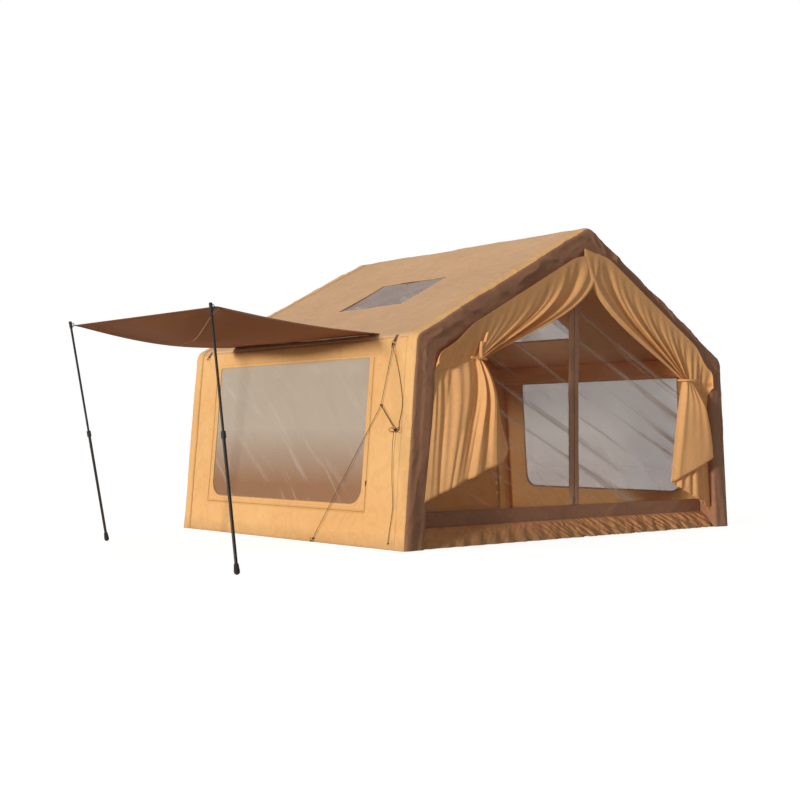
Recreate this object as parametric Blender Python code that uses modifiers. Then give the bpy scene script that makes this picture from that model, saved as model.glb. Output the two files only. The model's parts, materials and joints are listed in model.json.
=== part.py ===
# Inflatable ridge tent with a propped side awning, modelled at its real size in metres.
# The gable front faces -Y, the awning is on the -X side and +Z points up.
# Lengths are worked out from the driving sizes below, and the tent is built round its own
# centre line first. At the end everything is moved so that the middle of the tent, awning and
# poles included, stands at the origin on the ground.

import math

import bmesh
import bpy
from mathutils import Matrix, Vector

# Shelter
BASE_WIDTH = 4.00
BASE_DEPTH = 2.84
RIDGE_PEAK = 2.49
EAVE_PEAK = 1.50
WALL_LEAN = 0.12
ARC_STEPS = 6

# Air frame and its skins
BEAM_RADIUS = 0.10
CROSS_BEAM_RADIUS = 0.085
SLEEVE_CLEARANCE = 0.0004
COVER = 0.003
FILM = 0.002
GAP = 0.0003
SLEEVE_SQUARENESS = 6.0
SLEEVE_STEPS = 8
SLEEVE_RETURN = 0.07

# Side windows and roof windows
WINDOW_START = 0.49
WINDOW_REAR_MARGIN = 0.42
WINDOW_SILL = 0.300
WINDOW_HEAD = 1.360
WINDOW_CORNER = 0.12
WINDOW_TOP_CORNER = 0.02
FILM_LAP = 0.015
ROOF_WINDOW_LENGTH = 0.80
ROOF_WINDOW_WIDTH = 0.58
LEFT_ROOF_WINDOW = (1.33, 1.01)
RIGHT_ROOF_WINDOW = (1.64, 0.82)
ROOF_WINDOW_CORNER = 0.02
ZIP_WIDTH = 0.012
ZIP_THICKNESS = 0.002
ZIP_MARGIN = 0.055
WINDOW_SLIDER_HEIGHT = 0.46

# Front opening
SILL_TOP = 0.25
SILL_BOTTOM = 0.13
SILL_THICKNESS = 0.006
LEAF_SETBACK = 0.060
LEAF_CLEARANCE = 0.012
ZIP_STRIP_WIDTH = 0.062
ZIP_STRIP_THICKNESS = 0.005
SKIRT_FLARE = 0.13
SKIRT_FOLD = 0.008
SKIRT_FOLD_PITCH = 0.16

# Curtains of the front opening
CURTAIN_CLOTH = 0.003
CURTAIN_BULGE = 0.045
POST_WAIST_DROP = 0.06
CURTAIN_RIBS = 32
CURTAIN_ROWS = 17
CURTAIN_FOLDS = 5
CURTAIN_FOLD_DEPTH = 0.022
CURTAIN_FLAP_DEPTH = 0.034
CURTAIN_TOP_DROP = 0.37
CURTAIN_EDGE_SAG = 0.14
WAIST_SPREAD_SHARE = 0.4
FLAT_EDGE_SHARE = 0.2
FLAP_RIBS = 8
FLAP_RISE = 6.0
FLAP_BOW = 0.05
FLAP_RIPPLE = 0.006
TIE_BUNDLE = 0.10
TIE_BAND_RADIUS = 0.005
TIE_BAND_DEPTH = 0.042
LEFT_TIE = (1.26, 1.36)
LEFT_HEM = ((1.76, 0.33), (1.60, 0.42), (1.26, 0.57), (1.00, 0.635), (0.94, 0.70))
RIGHT_TIE = (1.36, 1.30)
RIGHT_HEM = ((1.76, 0.10), (1.72, 0.17), (1.165, 0.41))
RIGHT_FLAP_CORNER = (1.71, 0.64)

# Awning and its two poles
AWNING_CLOTH = 0.002
AWNING_SAG = 0.05
AWNING_STEPS = 12
AWNING_EDGE_SAG = 0.055
AWNING_INNER_START = 0.48
AWNING_INNER_END = 2.33
AWNING_HINGE_UP = 0.030
HINGE_CLEARANCE = 0.00155
HINGE_OVERHANG = 0.0007
NEAR_CORNER_OUT = 1.520
NEAR_CORNER_ALONG = 0.00
NEAR_CORNER_HEIGHT = 1.559
BACK_CORNER_OUT = 1.525
BACK_CORNER_ALONG = 1.84
BACK_CORNER_HEIGHT = 1.574
NEAR_FOOT_OUT = 1.64
NEAR_FOOT_ALONG = -0.415
BACK_FOOT_OUT = 1.145
BACK_FOOT_ALONG = 2.035
STRAP_WIDTH = 0.026
STRAP_THICKNESS = 0.002
STRAP_LAP = 0.045
STRAP_EYE_RADIUS = 0.006
STRAP_EYE_OUT = 0.010
STRAP_EYE_SLACK = 0.0006
STRAP_RIM = 0.004
RING_RADIUS = 0.012
RING_WIRE = 0.0025
POLE_INNER_RADIUS = 0.008
POLE_OUTER_RADIUS = 0.010
POLE_BORE_CLEARANCE = 0.0003
POLE_JOINT_SHARE = 0.50
POLE_OVERLAP = 0.12
POLE_HEAD_RADIUS = 0.011
POLE_HEAD_RISE = 0.020
POLE_HEAD_LENGTH = 0.050
COLLAR_RADIUS = 0.015
COLLAR_LENGTH = 0.040
FOOT_RADIUS = 0.018
FOOT_LENGTH = 0.045

# Small fittings
TAB_WIDTH = 0.030
TAB_LENGTH = 0.050
TAB_THICKNESS = 0.003
TAB_LOOP_RADIUS = 0.007
TAB_LOOP_WIRE = 0.0015
GUY_RING_RADIUS = 0.015
GUY_RING_WIRE = 0.0025
CORNER_TAB_ALONG = 0.224
CORNER_TAB_STEPS = 2
PEG_LOOP_RADIUS = 0.018
PEG_LOOP_WIRE = 0.003
PEG_LOOP_ALONG = 1.010
ROPE_RADIUS = 0.002
ROPE_TAIL = 0.030
ROPE_SEAT = 0.008
ROPE_LAYER = 0.0025
ELBOW_ALONG = 0.320
ELBOW_HEIGHT = 1.011
ELBOW_SEAT = 0.014
KNOT_ALONG = 0.146
KNOT_HEIGHT = 0.833
BOW_WIDTH = 0.070
BOW_HEIGHT = 0.035
STRAND_PLACES = ((0.165, 1.26), (0.115, 1.10), (0.100, 1.00), (0.118, 0.90))
BOW_SHARES = ((1.0, 0.4), (1.6, 0.45), (1.75, 0.0), (1.0, -0.35), (0.0, -0.1),
              (-0.9, 0.4), (-1.5, 0.5), (-1.7, 0.0), (-0.9, -0.45), (-0.1, -0.3))
TAIL_SHARES = ((0.14, 0.96), (0.20, 0.84), (0.06, 0.60), (-0.23, 0.36), (0.09, 0.14), (0.17, 0.05))
VALVE_HEIGHT = 0.32
VALVE_FLANGE_RADIUS = 0.024
VALVE_FLANGE = 0.004
VALVE_NECK_RADIUS = 0.015
VALVE_NECK = 0.012
VALVE_BORE = 0.008
VALVE_HOLE_MARGIN = 0.004
CAP_CLEARANCE = 0.0015
CAP_WALL = 0.0025
CAP_SKIRT = 0.006
SLIDER_WIDTH = 0.010
SLIDER_THICKNESS = 0.005
SLIDER_LENGTH = 0.024
PULL_LENGTH = 0.034
PULL_WIDTH = 0.006
PULL_THICKNESS = 0.0015

# Colours
CLOTH = (0.72, 0.47, 0.22)
SHADE_CLOTH = (0.62, 0.42, 0.22)
TUBE_SLEEVE = (0.50, 0.34, 0.20)
CLEAR = (0.80, 0.83, 0.84)
DARK = (0.03, 0.028, 0.025)
STEEL = (0.60, 0.60, 0.62)
CORD = (0.22, 0.12, 0.06)
ZIP = (0.30, 0.20, 0.11)

SLEEVE_RADIUS = BEAM_RADIUS + SLEEVE_CLEARANCE + COVER
BEND_ROUND = CROSS_BEAM_RADIUS + SLEEVE_CLEARANCE + COVER
FRONT_ARCH = SLEEVE_RADIUS - BASE_DEPTH / 2
REAR_ARCH = -FRONT_ARCH
LEAF_INSET = 2 * SLEEVE_RADIUS + LEAF_CLEARANCE
LEAF_PLANE = FRONT_ARCH + LEAF_SETBACK
FRONT_FACE = -BASE_DEPTH / 2
WINDOW_END = BASE_DEPTH - WINDOW_REAR_MARGIN
OVERRUN = 0.05
SMALL_OVERRUN = 0.002
MERGE_DISTANCE = 0.00001


def clear_scene():
    for thing in list(bpy.data.objects):
        bpy.data.objects.remove(thing, do_unlink=True)


def make_collection(name):
    found = bpy.data.collections.get(name) or bpy.data.collections.new(name)
    if name not in bpy.context.scene.collection.children:
        bpy.context.scene.collection.children.link(found)
    return found


clear_scene()
TENT = make_collection("inflatable_tent")
CUTTERS = make_collection("cutters")


def make_material(name, colour, roughness, metallic=0.0, alpha=1.0):
    material = bpy.data.materials.new(name)
    material.use_nodes = True
    shader = material.node_tree.nodes["Principled BSDF"]
    shader.inputs["Base Color"].default_value = (*colour, 1.0)
    shader.inputs["Roughness"].default_value = roughness
    shader.inputs["Metallic"].default_value = metallic
    shader.inputs["Alpha"].default_value = alpha
    return material


def adopt(name, mesh, finish, pivot=None, smooth=False):
    """Puts a mesh into the tent as a named object, with its origin on the pivot if it moves."""
    colour, roughness, metallic = finish
    thing = bpy.data.objects.new(name, mesh)
    TENT.objects.link(thing)
    mesh.materials.clear()
    mesh.materials.append(make_material(name, colour, roughness, metallic))
    if smooth:
        mesh.shade_smooth()
        mesh.set_sharp_from_angle(angle=math.radians(40))
    if pivot is not None:
        mesh.transform(Matrix.Translation(-Vector(pivot)))
        thing.location = pivot
    return thing


def mesh_from(work, name):
    bmesh.ops.recalc_face_normals(work, faces=work.faces)
    mesh = bpy.data.meshes.new(name)
    work.to_mesh(mesh)
    work.free()
    return mesh


def loft_mesh(name, rings):
    """Skins closed rings of equal length and caps both ends."""
    work = bmesh.new()
    rows = [[work.verts.new(point) for point in ring] for ring in rings]
    count = len(rings[0])
    for low, high in zip(rows, rows[1:]):
        for i in range(count):
            j = (i + 1) % count
            work.faces.new((low[i], low[j], high[j], high[i]))
    work.faces.new(rows[0])
    work.faces.new(rows[-1])
    return mesh_from(work, name)


def sheet_mesh(name, front, back):
    """Closes a sheet between two grids of points, such as a cloth's front and back face."""
    work = bmesh.new()
    faces = [[[work.verts.new(point) for point in row] for row in grid] for grid in (front, back)]
    rows = len(front)
    columns = len(front[0])
    for side in faces:
        for i in range(rows - 1):
            for j in range(columns - 1):
                work.faces.new((side[i][j], side[i][j + 1], side[i + 1][j + 1], side[i + 1][j]))
    rim = [(0, j) for j in range(columns)]
    rim += [(i, columns - 1) for i in range(1, rows)]
    rim += [(rows - 1, j) for j in range(columns - 2, -1, -1)]
    rim += [(i, 0) for i in range(rows - 2, 0, -1)]
    for (i, j), (k, m) in zip(rim, rim[1:] + rim[:1]):
        work.faces.new((faces[0][i][j], faces[0][k][m], faces[1][k][m], faces[1][i][j]))
    return mesh_from(work, name)


def tube_mesh(name, points, radius, resolution=2):
    """A filled tube along the points, as a mesh with its caps welded."""
    curve = bpy.data.curves.new(name, "CURVE")
    curve.dimensions = "3D"
    curve.bevel_depth = radius
    curve.bevel_resolution = resolution
    curve.use_fill_caps = True
    spline = curve.splines.new("POLY")
    spline.points.add(len(points) - 1)
    for control, point in zip(spline.points, points):
        control.co = (*point, 1.0)
    guide = bpy.data.objects.new(name + "_guide", curve)
    TENT.objects.link(guide)
    depsgraph = bpy.context.evaluated_depsgraph_get()
    mesh = bpy.data.meshes.new_from_object(guide.evaluated_get(depsgraph))
    bpy.data.objects.remove(guide, do_unlink=True)
    work = bmesh.new()
    work.from_mesh(mesh)
    bmesh.ops.remove_doubles(work, verts=work.verts, dist=MERGE_DISTANCE)
    bpy.data.meshes.remove(mesh)
    return mesh_from(work, name)


def turned_mesh(name, profile, steps=16):
    """A solid of revolution about Z: the profile runs down the outer side, top to bottom."""
    mesh = bpy.data.meshes.new(name)
    count = len(profile)
    points = [(radius, 0.0, height) for radius, height in profile]
    mesh.from_pydata(points, [(i, i + 1) for i in range(count - 1)], [])
    guide = bpy.data.objects.new(name + "_guide", mesh)
    TENT.objects.link(guide)
    screw = guide.modifiers.new("turn", "SCREW")
    screw.steps = steps
    screw.render_steps = steps
    screw.use_merge_vertices = True
    screw.merge_threshold = MERGE_DISTANCE
    depsgraph = bpy.context.evaluated_depsgraph_get()
    turned = bpy.data.meshes.new_from_object(guide.evaluated_get(depsgraph))
    bpy.data.objects.remove(guide, do_unlink=True)
    work = bmesh.new()
    work.from_mesh(turned)
    bmesh.ops.remove_doubles(work, verts=work.verts, dist=MERGE_DISTANCE)
    return mesh_from(work, name)


def torus_mesh(name, radius, wire, around=24, across=8):
    bpy.ops.mesh.primitive_torus_add(major_radius=radius, minor_radius=wire,
                                     major_segments=around, minor_segments=across)
    thing = bpy.context.object
    mesh = thing.data
    bpy.data.objects.remove(thing, do_unlink=True)
    return mesh


def box_mesh(name, size, centre=(0.0, 0.0, 0.0)):
    work = bmesh.new()
    bmesh.ops.create_cube(work, size=1.0)
    bmesh.ops.scale(work, vec=size, verts=work.verts)
    bmesh.ops.translate(work, vec=centre, verts=work.verts)
    return mesh_from(work, name)


def cutter(name, mesh):
    thing = bpy.data.objects.new(name, mesh)
    CUTTERS.objects.link(thing)
    thing.hide_render = True
    thing.display_type = "WIRE"
    return thing


def carve(thing, tool, operation="DIFFERENCE"):
    boolean = thing.modifiers.new("cut_" + tool.name, "BOOLEAN")
    boolean.operation = operation
    boolean.object = tool


def frame_matrix(origin, x_axis, y_axis, z_axis):
    """A matrix that takes local X, Y and Z to the given directions at the origin."""
    rotation = Matrix((x_axis, y_axis, z_axis)).transposed().to_4x4()
    return Matrix.Translation(origin) @ rotation


def facing_back(origin):
    """A frame whose local Z points along +Y and whose local Y points down."""
    level = Vector((1.0, 0.0, 0.0))
    return frame_matrix(origin, level, Vector((0.0, 0.0, -1.0)), Vector((0.0, 1.0, 0.0)))


# The outline of the shelter's cross-section


def wall_directions():
    wall = Vector((-WALL_LEAN, EAVE_PEAK)).normalized()
    roof = Vector((WALL_LEAN - BASE_WIDTH / 2, RIDGE_PEAK - EAVE_PEAK)).normalized()
    return wall, roof


def inward(direction):
    return Vector((-direction.y, direction.x))


def eave_corner(inset):
    """Where the wall's and the roof's lines meet, set in by the inset."""
    wall, roof = wall_directions()
    first, second = inward(wall), inward(roof)
    corner = Vector((BASE_WIDTH / 2 - WALL_LEAN, EAVE_PEAK))
    return corner + (first + second) * (inset / (1.0 + first.dot(second)))


def ridge_corner(inset):
    return Vector((0.0, RIDGE_PEAK + inset / inward(wall_directions()[1]).y))


def bend(centre, first, last, steps):
    """Points of an arc of the bends' radius between two angles."""
    points = []
    for i in range(steps + 1):
        angle = first + (last - first) * i / steps
        points.append(centre + Vector((math.cos(angle), math.sin(angle))) * BEND_ROUND)
    return points


def half_outline(inset, lowest=0.0):
    """The right half of the section, from the ground to the ridge, set in by the inset."""
    wall, roof = wall_directions()
    first, second = inward(wall), inward(roof)
    centre = eave_corner(inset + BEND_ROUND)
    start = centre - first * BEND_ROUND
    foot = start + wall * ((lowest - start.y) / wall.y)
    low, high = math.atan2(-first.y, -first.x), math.atan2(-second.y, -second.x)
    points = [foot] + bend(centre, low, high, ARC_STEPS)
    points += bend(ridge_corner(inset + BEND_ROUND), high, math.pi / 2, ARC_STEPS // 2)
    points[-1].x = 0.0
    return points


def arch_outline(inset, lowest=0.0):
    """The whole section, from the right foot over the ridge to the left foot."""
    right = half_outline(inset, lowest)
    return right + [Vector((-point.x, point.y)) for point in reversed(right[:-1])]


def wall_x(inset, height):
    """The right wall's distance from the middle at a height on its straight part."""
    return half_outline(inset, height)[0].x


def roof_point(inset, up):
    """A point on the right roof slope, a distance up it from the end of the eave's bend."""
    roof = wall_directions()[1]
    start = half_outline(inset)[ARC_STEPS + 1]
    return start + roof * up


def solid(x, z, y):
    return Vector((x, y, z))


# Air frame

AXIS_INSET = SLEEVE_RADIUS
CROSS_BEAM_INSET = BEND_ROUND + 2 * SLEEVE_CLEARANCE


def arch_axis(y, below=OVERRUN):
    return [solid(point.x, point.y, y) for point in arch_outline(AXIS_INSET, -below)]


def make_frame():
    finish = (TUBE_SLEEVE, 0.8, 0.0)
    ground = cutter("ground_cutter", box_mesh(
        "ground_cutter", (2 * BASE_WIDTH, 2 * BASE_DEPTH, OVERRUN * 4), (0.0, 0.0, -OVERRUN * 2)))
    saddles = []
    for name, y in (("front_arch_beam", FRONT_ARCH), ("rear_arch_beam", REAR_ARCH)):
        beam = adopt(name, tube_mesh(name, arch_axis(y), BEAM_RADIUS, 4), finish, smooth=True)
        carve(beam, ground)
        saddles.append(cutter(name + "_saddle", tube_mesh(
            name + "_saddle", arch_axis(y, 2 * OVERRUN), BEAM_RADIUS + GAP, 4)))
    eave = eave_corner(CROSS_BEAM_INSET)
    places = {
        "ridge_beam": ridge_corner(CROSS_BEAM_INSET),
        "eave_beam_right": eave,
        "eave_beam_left": Vector((-eave.x, eave.y)),
    }
    for name, place in places.items():
        ends = [solid(place.x, place.y, y) for y in (FRONT_ARCH, REAR_ARCH)]
        beam = adopt(name, tube_mesh(name, ends, CROSS_BEAM_RADIUS, 4), finish, smooth=True)
        for saddle in saddles:
            carve(beam, saddle)


def sleeve_section():
    """The arch sleeve's section as (inset, depth) pairs: outer face first, then its inner face."""
    power = 2.0 / SLEEVE_SQUARENESS
    outer = []
    for i in range(SLEEVE_STEPS + 1):
        angle = math.pi * i / SLEEVE_STEPS
        across = math.copysign(abs(math.cos(angle)) ** power, math.cos(angle))
        outer.append((across, -abs(math.sin(angle)) ** power))
    loop = []
    for radius, order in ((SLEEVE_RADIUS, outer), (SLEEVE_RADIUS - COVER, outer[::-1])):
        points = [(AXIS_INSET - across * radius, depth * radius) for across, depth in order]
        end = (AXIS_INSET + radius, SLEEVE_RETURN)
        loop += points + [end] if order is outer else [end] + points
    return loop


def make_arch_cover(name, y, facing, valves=()):
    section = sleeve_section()
    outlines = [[solid(point.x, point.y, y + facing * depth) for point in arch_outline(inset)]
                for inset, depth in section]
    rings = [[outline[i] for outline in outlines] for i in range(len(outlines[0]))]
    cover = adopt(name, loft_mesh(name, rings), (CLOTH, 0.85, 0.0))
    for tool in valves:
        carve(cover, tool)
    return cover


# Panels between the two arches


def panel_rings(first, last, start_gap, end_gap, mirror):
    """A strip of the cover between two stations of the outline, from arch to arch."""
    outer = half_outline(0.0)[first:last + 1]
    inner = half_outline(COVER)[first:last + 1]
    for line in (outer, inner):
        line[0] = line[0] + (line[1] - line[0]).normalized() * start_gap
        line[-1] = line[-1] - (line[-1] - line[-2]).normalized() * end_gap
    loop = outer + inner[::-1]
    return [[solid(mirror * point.x, point.y, y) for point in loop]
            for y in (FRONT_ARCH + GAP, REAR_ARCH - GAP)]


def rounded_outline(low, high, bottom, top, bottom_radius, top_radius, steps=4):
    corners = [
        (low + bottom_radius, bottom + bottom_radius, bottom_radius, math.pi),
        (high - bottom_radius, bottom + bottom_radius, bottom_radius, 1.5 * math.pi),
        (high - top_radius, top - top_radius, top_radius, 0.0),
        (low + top_radius, top - top_radius, top_radius, 0.5 * math.pi),
    ]
    points = []
    for across, up, radius, start in corners:
        for i in range(steps + 1):
            angle = start + 0.5 * math.pi * i / steps
            points.append((across + radius * math.cos(angle), up + radius * math.sin(angle)))
    return points


def make_side(name, mirror):
    """One long wall with its window, the window's film and the zip round it."""
    seam = 1 + ARC_STEPS // 2
    wall = adopt("side_wall_" + name, loft_mesh("side_wall_" + name, panel_rings(
        0, seam, 0.0, 0.0, mirror)), (CLOTH, 0.85, 0.0))
    near = FRONT_FACE + WINDOW_START
    far = FRONT_FACE + WINDOW_END
    hole = rounded_outline(near, far, WINDOW_SILL, WINDOW_HEAD, WINDOW_CORNER, WINDOW_TOP_CORNER)
    depths = (mirror * (wall_x(0.0, 0.0) + OVERRUN), mirror * (wall_x(0.0, EAVE_PEAK) - 2 * OVERRUN))
    tool = cutter("window_cutter_" + name, loft_mesh("window_cutter_" + name, [
        [Vector((x, across, up)) for across, up in hole] for x in depths]))
    carve(wall, tool)

    edges = (WINDOW_SILL - FILM_LAP, WINDOW_HEAD + FILM_LAP)
    inner = COVER + GAP
    loop = [(inner, edges[0]), (inner, edges[1]), (inner + FILM, edges[1]), (inner + FILM, edges[0])]
    film = [[Vector((mirror * wall_x(inset, up), y, up)) for inset, up in loop]
            for y in (near - FILM_LAP, far + FILM_LAP)]
    adopt("side_window_" + name, loft_mesh("side_window_" + name, film), (CLEAR, 0.1, 0.0))

    lines = []
    for margin in (ZIP_MARGIN, ZIP_MARGIN - ZIP_WIDTH):
        foot = WINDOW_SILL - margin
        lines.append([(near - margin, WINDOW_HEAD), (near - margin, foot),
                      (far + margin, foot), (far + margin, WINDOW_HEAD)])
    rings = []
    for out in (GAP, GAP + ZIP_THICKNESS):
        rings.append([Vector((mirror * wall_x(-out, up), across, up))
                      for across, up in lines[0] + lines[1][::-1]])
    adopt("window_zip_" + name, loft_mesh("window_zip_" + name, rings), (ZIP, 0.6, 0.0))
    track = near - ZIP_MARGIN + ZIP_WIDTH / 2 - FRONT_FACE
    seat = wall_frame(mirror, track, WINDOW_SLIDER_HEIGHT, ZIP_THICKNESS + 2 * GAP)
    make_slider("window_slider_" + name, seat @ facing_back(Vector()), seat.translation)


def make_roof(name, mirror, window):
    """One roof slope with its clear window, fixed under the hole by its edges."""
    along_roof, window_up = window
    seam = 1 + ARC_STEPS // 2
    last = len(half_outline(0.0)) - 1
    roof = adopt("roof_panel_" + name, loft_mesh("roof_panel_" + name, panel_rings(
        seam, last, GAP, GAP / 2, mirror)), (CLOTH, 0.85, 0.0))
    low = window_up - ROOF_WINDOW_WIDTH / 2
    high = low + ROOF_WINDOW_WIDTH
    near = FRONT_FACE + along_roof - ROOF_WINDOW_LENGTH / 2
    far = near + ROOF_WINDOW_LENGTH
    corner = ROOF_WINDOW_CORNER
    hole = rounded_outline(near, far, low, high, corner, corner, 3)
    rings = []
    for inset in (-OVERRUN, OVERRUN):
        ring = [(roof_point(inset, up), y) for y, up in hole]
        rings.append([solid(mirror * point.x, point.y, y) for point, y in ring])
    carve(roof, cutter("roof_window_cutter_" + name, loft_mesh("roof_window_cutter_" + name, rings)))
    top = COVER + GAP
    film = []
    for y in (near - FILM_LAP, far + FILM_LAP):
        loop = [roof_point(top, low - FILM_LAP), roof_point(top, high + FILM_LAP),
                roof_point(top + FILM, high + FILM_LAP), roof_point(top + FILM, low - FILM_LAP)]
        film.append([solid(mirror * point.x, point.y, y) for point in loop])
    adopt("roof_window_" + name, loft_mesh("roof_window_" + name, film), (CLEAR, 0.1, 0.0))


def make_rear_wall():
    outline = arch_outline(2 * SLEEVE_RADIUS + GAP)
    rings = [[solid(point.x, point.y, y) for point in outline]
             for y in (REAR_ARCH - LEAF_SETBACK - COVER, REAR_ARCH - LEAF_SETBACK)]
    adopt("rear_wall", loft_mesh("rear_wall", rings), (SHADE_CLOTH, 0.85, 0.0))


# Front opening


def make_sill():
    inset = 2 * SLEEVE_RADIUS + GAP
    right = [(wall_x(inset, SILL_BOTTOM), SILL_BOTTOM), (wall_x(inset, SILL_TOP), SILL_TOP)]
    loop = right + [(-x, z) for x, z in reversed(right)]
    back = LEAF_PLANE + FILM
    rings = [[Vector((x, y, z)) for x, z in loop] for y in (back - SILL_THICKNESS, back)]
    adopt("front_sill", loft_mesh("front_sill", rings), (CLOTH, 0.85, 0.0))


def make_skirt():
    """The gathered flounce under the sill, which flares forward to the ground."""
    inset = 2 * SLEEVE_RADIUS + GAP
    top = SILL_BOTTOM - GAP
    levels = 4
    reach = wall_x(inset, top)
    folds = max(4, round(2 * reach / SKIRT_FOLD_PITCH))
    columns = folds * 4
    back = LEAF_PLANE + FILM - SILL_THICKNESS
    grids = []
    for thickness in (0.0, 1.5 * COVER):
        grid = []
        for i in range(levels + 1):
            down = i / levels
            z = top * (1.0 - down)
            half = wall_x(inset, z)
            row = []
            for j in range(columns + 1):
                share = j / columns
                ripple = SKIRT_FOLD * down * math.sin(2 * math.pi * folds * share)
                y = back - SKIRT_FLARE * down + ripple + thickness
                row.append(Vector((half * (2 * share - 1), y, z)))
            grid.append(row)
        grids.append(grid)
    adopt("front_skirt", sheet_mesh("front_skirt", *grids), (CLOTH, 0.85, 0.0))


def make_leaf(name, mirror):
    """One clear half of the front, which swings inward on its outer edge."""
    outline = half_outline(LEAF_INSET, SILL_TOP + GAP)
    hinge = (mirror * outline[0].x, LEAF_PLANE, SILL_TOP + GAP)
    outline[-1] = Vector((GAP, outline[-1].y))
    loop = outline + [Vector((GAP, SILL_TOP + GAP))]
    rings = [[solid(mirror * point.x, point.y, y) for point in loop]
             for y in (LEAF_PLANE, LEAF_PLANE + FILM)]
    adopt("door_leaf_" + name, loft_mesh("door_leaf_" + name, rings), (CLEAR, 0.1, 0.0), hinge)
    roof = wall_directions()[1]
    top = outline[-1].y
    drop = -roof.y / roof.x * ZIP_STRIP_WIDTH
    low = SILL_TOP + GAP
    strip = [(GAP, low), (ZIP_STRIP_WIDTH, low), (ZIP_STRIP_WIDTH, top - drop), (GAP, top)]
    front = LEAF_PLANE - GAP
    rings = [[Vector((mirror * x, y, z)) for x, z in strip]
             for y in (front - ZIP_STRIP_THICKNESS, front)]
    adopt("door_zip_strip_" + name, loft_mesh("door_zip_strip_" + name, rings), (CLOTH, 0.8, 0.0), hinge)
    return hinge


def slider_mesh(name):
    """A zip slider with its pull hanging down; its back face lies at local Y 0, facing -Y."""
    body = box_mesh(name, (SLIDER_WIDTH, SLIDER_THICKNESS, SLIDER_LENGTH),
                    (0.0, -SLIDER_THICKNESS / 2, 0.0))
    pull = box_mesh(name + "_pull", (PULL_WIDTH, PULL_THICKNESS, PULL_LENGTH),
                    (0.0, -SLIDER_THICKNESS - PULL_THICKNESS / 2 + GAP, -PULL_LENGTH / 3))
    return body, pull


def make_slider(name, matrix, pivot):
    body, pull = slider_mesh(name)
    body.transform(matrix)
    pull.transform(matrix)
    slider = adopt(name, body, (STEEL, 0.35, 1.0), pivot)
    carve(slider, cutter(name + "_pull_shape", pull), "UNION")


# Curtains


def smooth_step(value):
    value = max(0.0, min(1.0, value))
    return value * value * (3.0 - 2.0 * value)


def along(points, share):
    """The point at a share of a polyline's length."""
    lengths = [(b - a).length for a, b in zip(points, points[1:])]
    left = share * sum(lengths)
    for a, b, length in zip(points, points[1:], lengths):
        if left <= length or b is points[-1]:
            return a + (b - a) * min(1.0, left / length)
        left -= length
    return points[-1]


def bezier(a, b, c, d, share):
    rest = 1.0 - share
    return a * rest ** 3 + 3 * b * rest * rest * share + 3 * c * rest * share * share + d * share ** 3


def curtain_height(tie):
    return tie[1] - POST_WAIST_DROP


def curtain_rib(tie, hem, share, flat_edge):
    """One rib of a tied-back curtain, as points of its front face from its heading to its hem."""
    inset = 2 * SLEEVE_RADIUS + GAP
    heading = half_outline(inset, curtain_height(tie))
    post_waist = half_outline(inset, curtain_height(tie) - POST_WAIST_DROP)[0]
    hem_points = [Vector((wall_x(inset, hem[0][1]), hem[0][1]))] + [Vector(point) for point in hem[1:]]
    top = along(heading, share)
    low = along(hem_points, share)
    bundle = Vector(tie) + Vector(((0.5 - share) * TIE_BUNDLE, 0.0))
    waist = post_waist.lerp(bundle, smooth_step(share / WAIST_SPREAD_SHARE))
    hang = share ** 1.5
    fall = top - Vector((0.0, CURTAIN_TOP_DROP * hang))
    reach = top.lerp(waist, 0.5) - Vector((0.0, CURTAIN_EDGE_SAG * hang))
    wave = math.sin(2 * math.pi * CURTAIN_FOLDS * share ** 1.4)
    edge = math.sin(math.pi * min(1.0, 4.0 * share) / 2)
    if flat_edge:
        edge *= smooth_step((1.0 - share) / FLAT_EDGE_SHARE)
    points = []
    for i in range(CURTAIN_ROWS + 1):
        down = i / CURTAIN_ROWS
        if down < 0.5:
            place = bezier(top, fall, reach, waist, smooth_step(2 * down))
        else:
            place = waist.lerp(low, 1.0 - math.cos((down - 0.5) * math.pi))
        loose = min(1.0, abs(2.0 * down - 1.0))
        fold = CURTAIN_FOLD_DEPTH * (0.3 + 0.7 * math.sin(math.pi * loose)) * edge * wave
        bulge = CURTAIN_BULGE * smooth_step(3.0 * share)
        points.append(Vector((place.x, FRONT_ARCH + (fold - bulge) * smooth_step(4.0 * down), place.y)))
    return points


def mirrored(point, mirror, back=0.0):
    return Vector((mirror * point.x, point.y + back, point.z))


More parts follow.
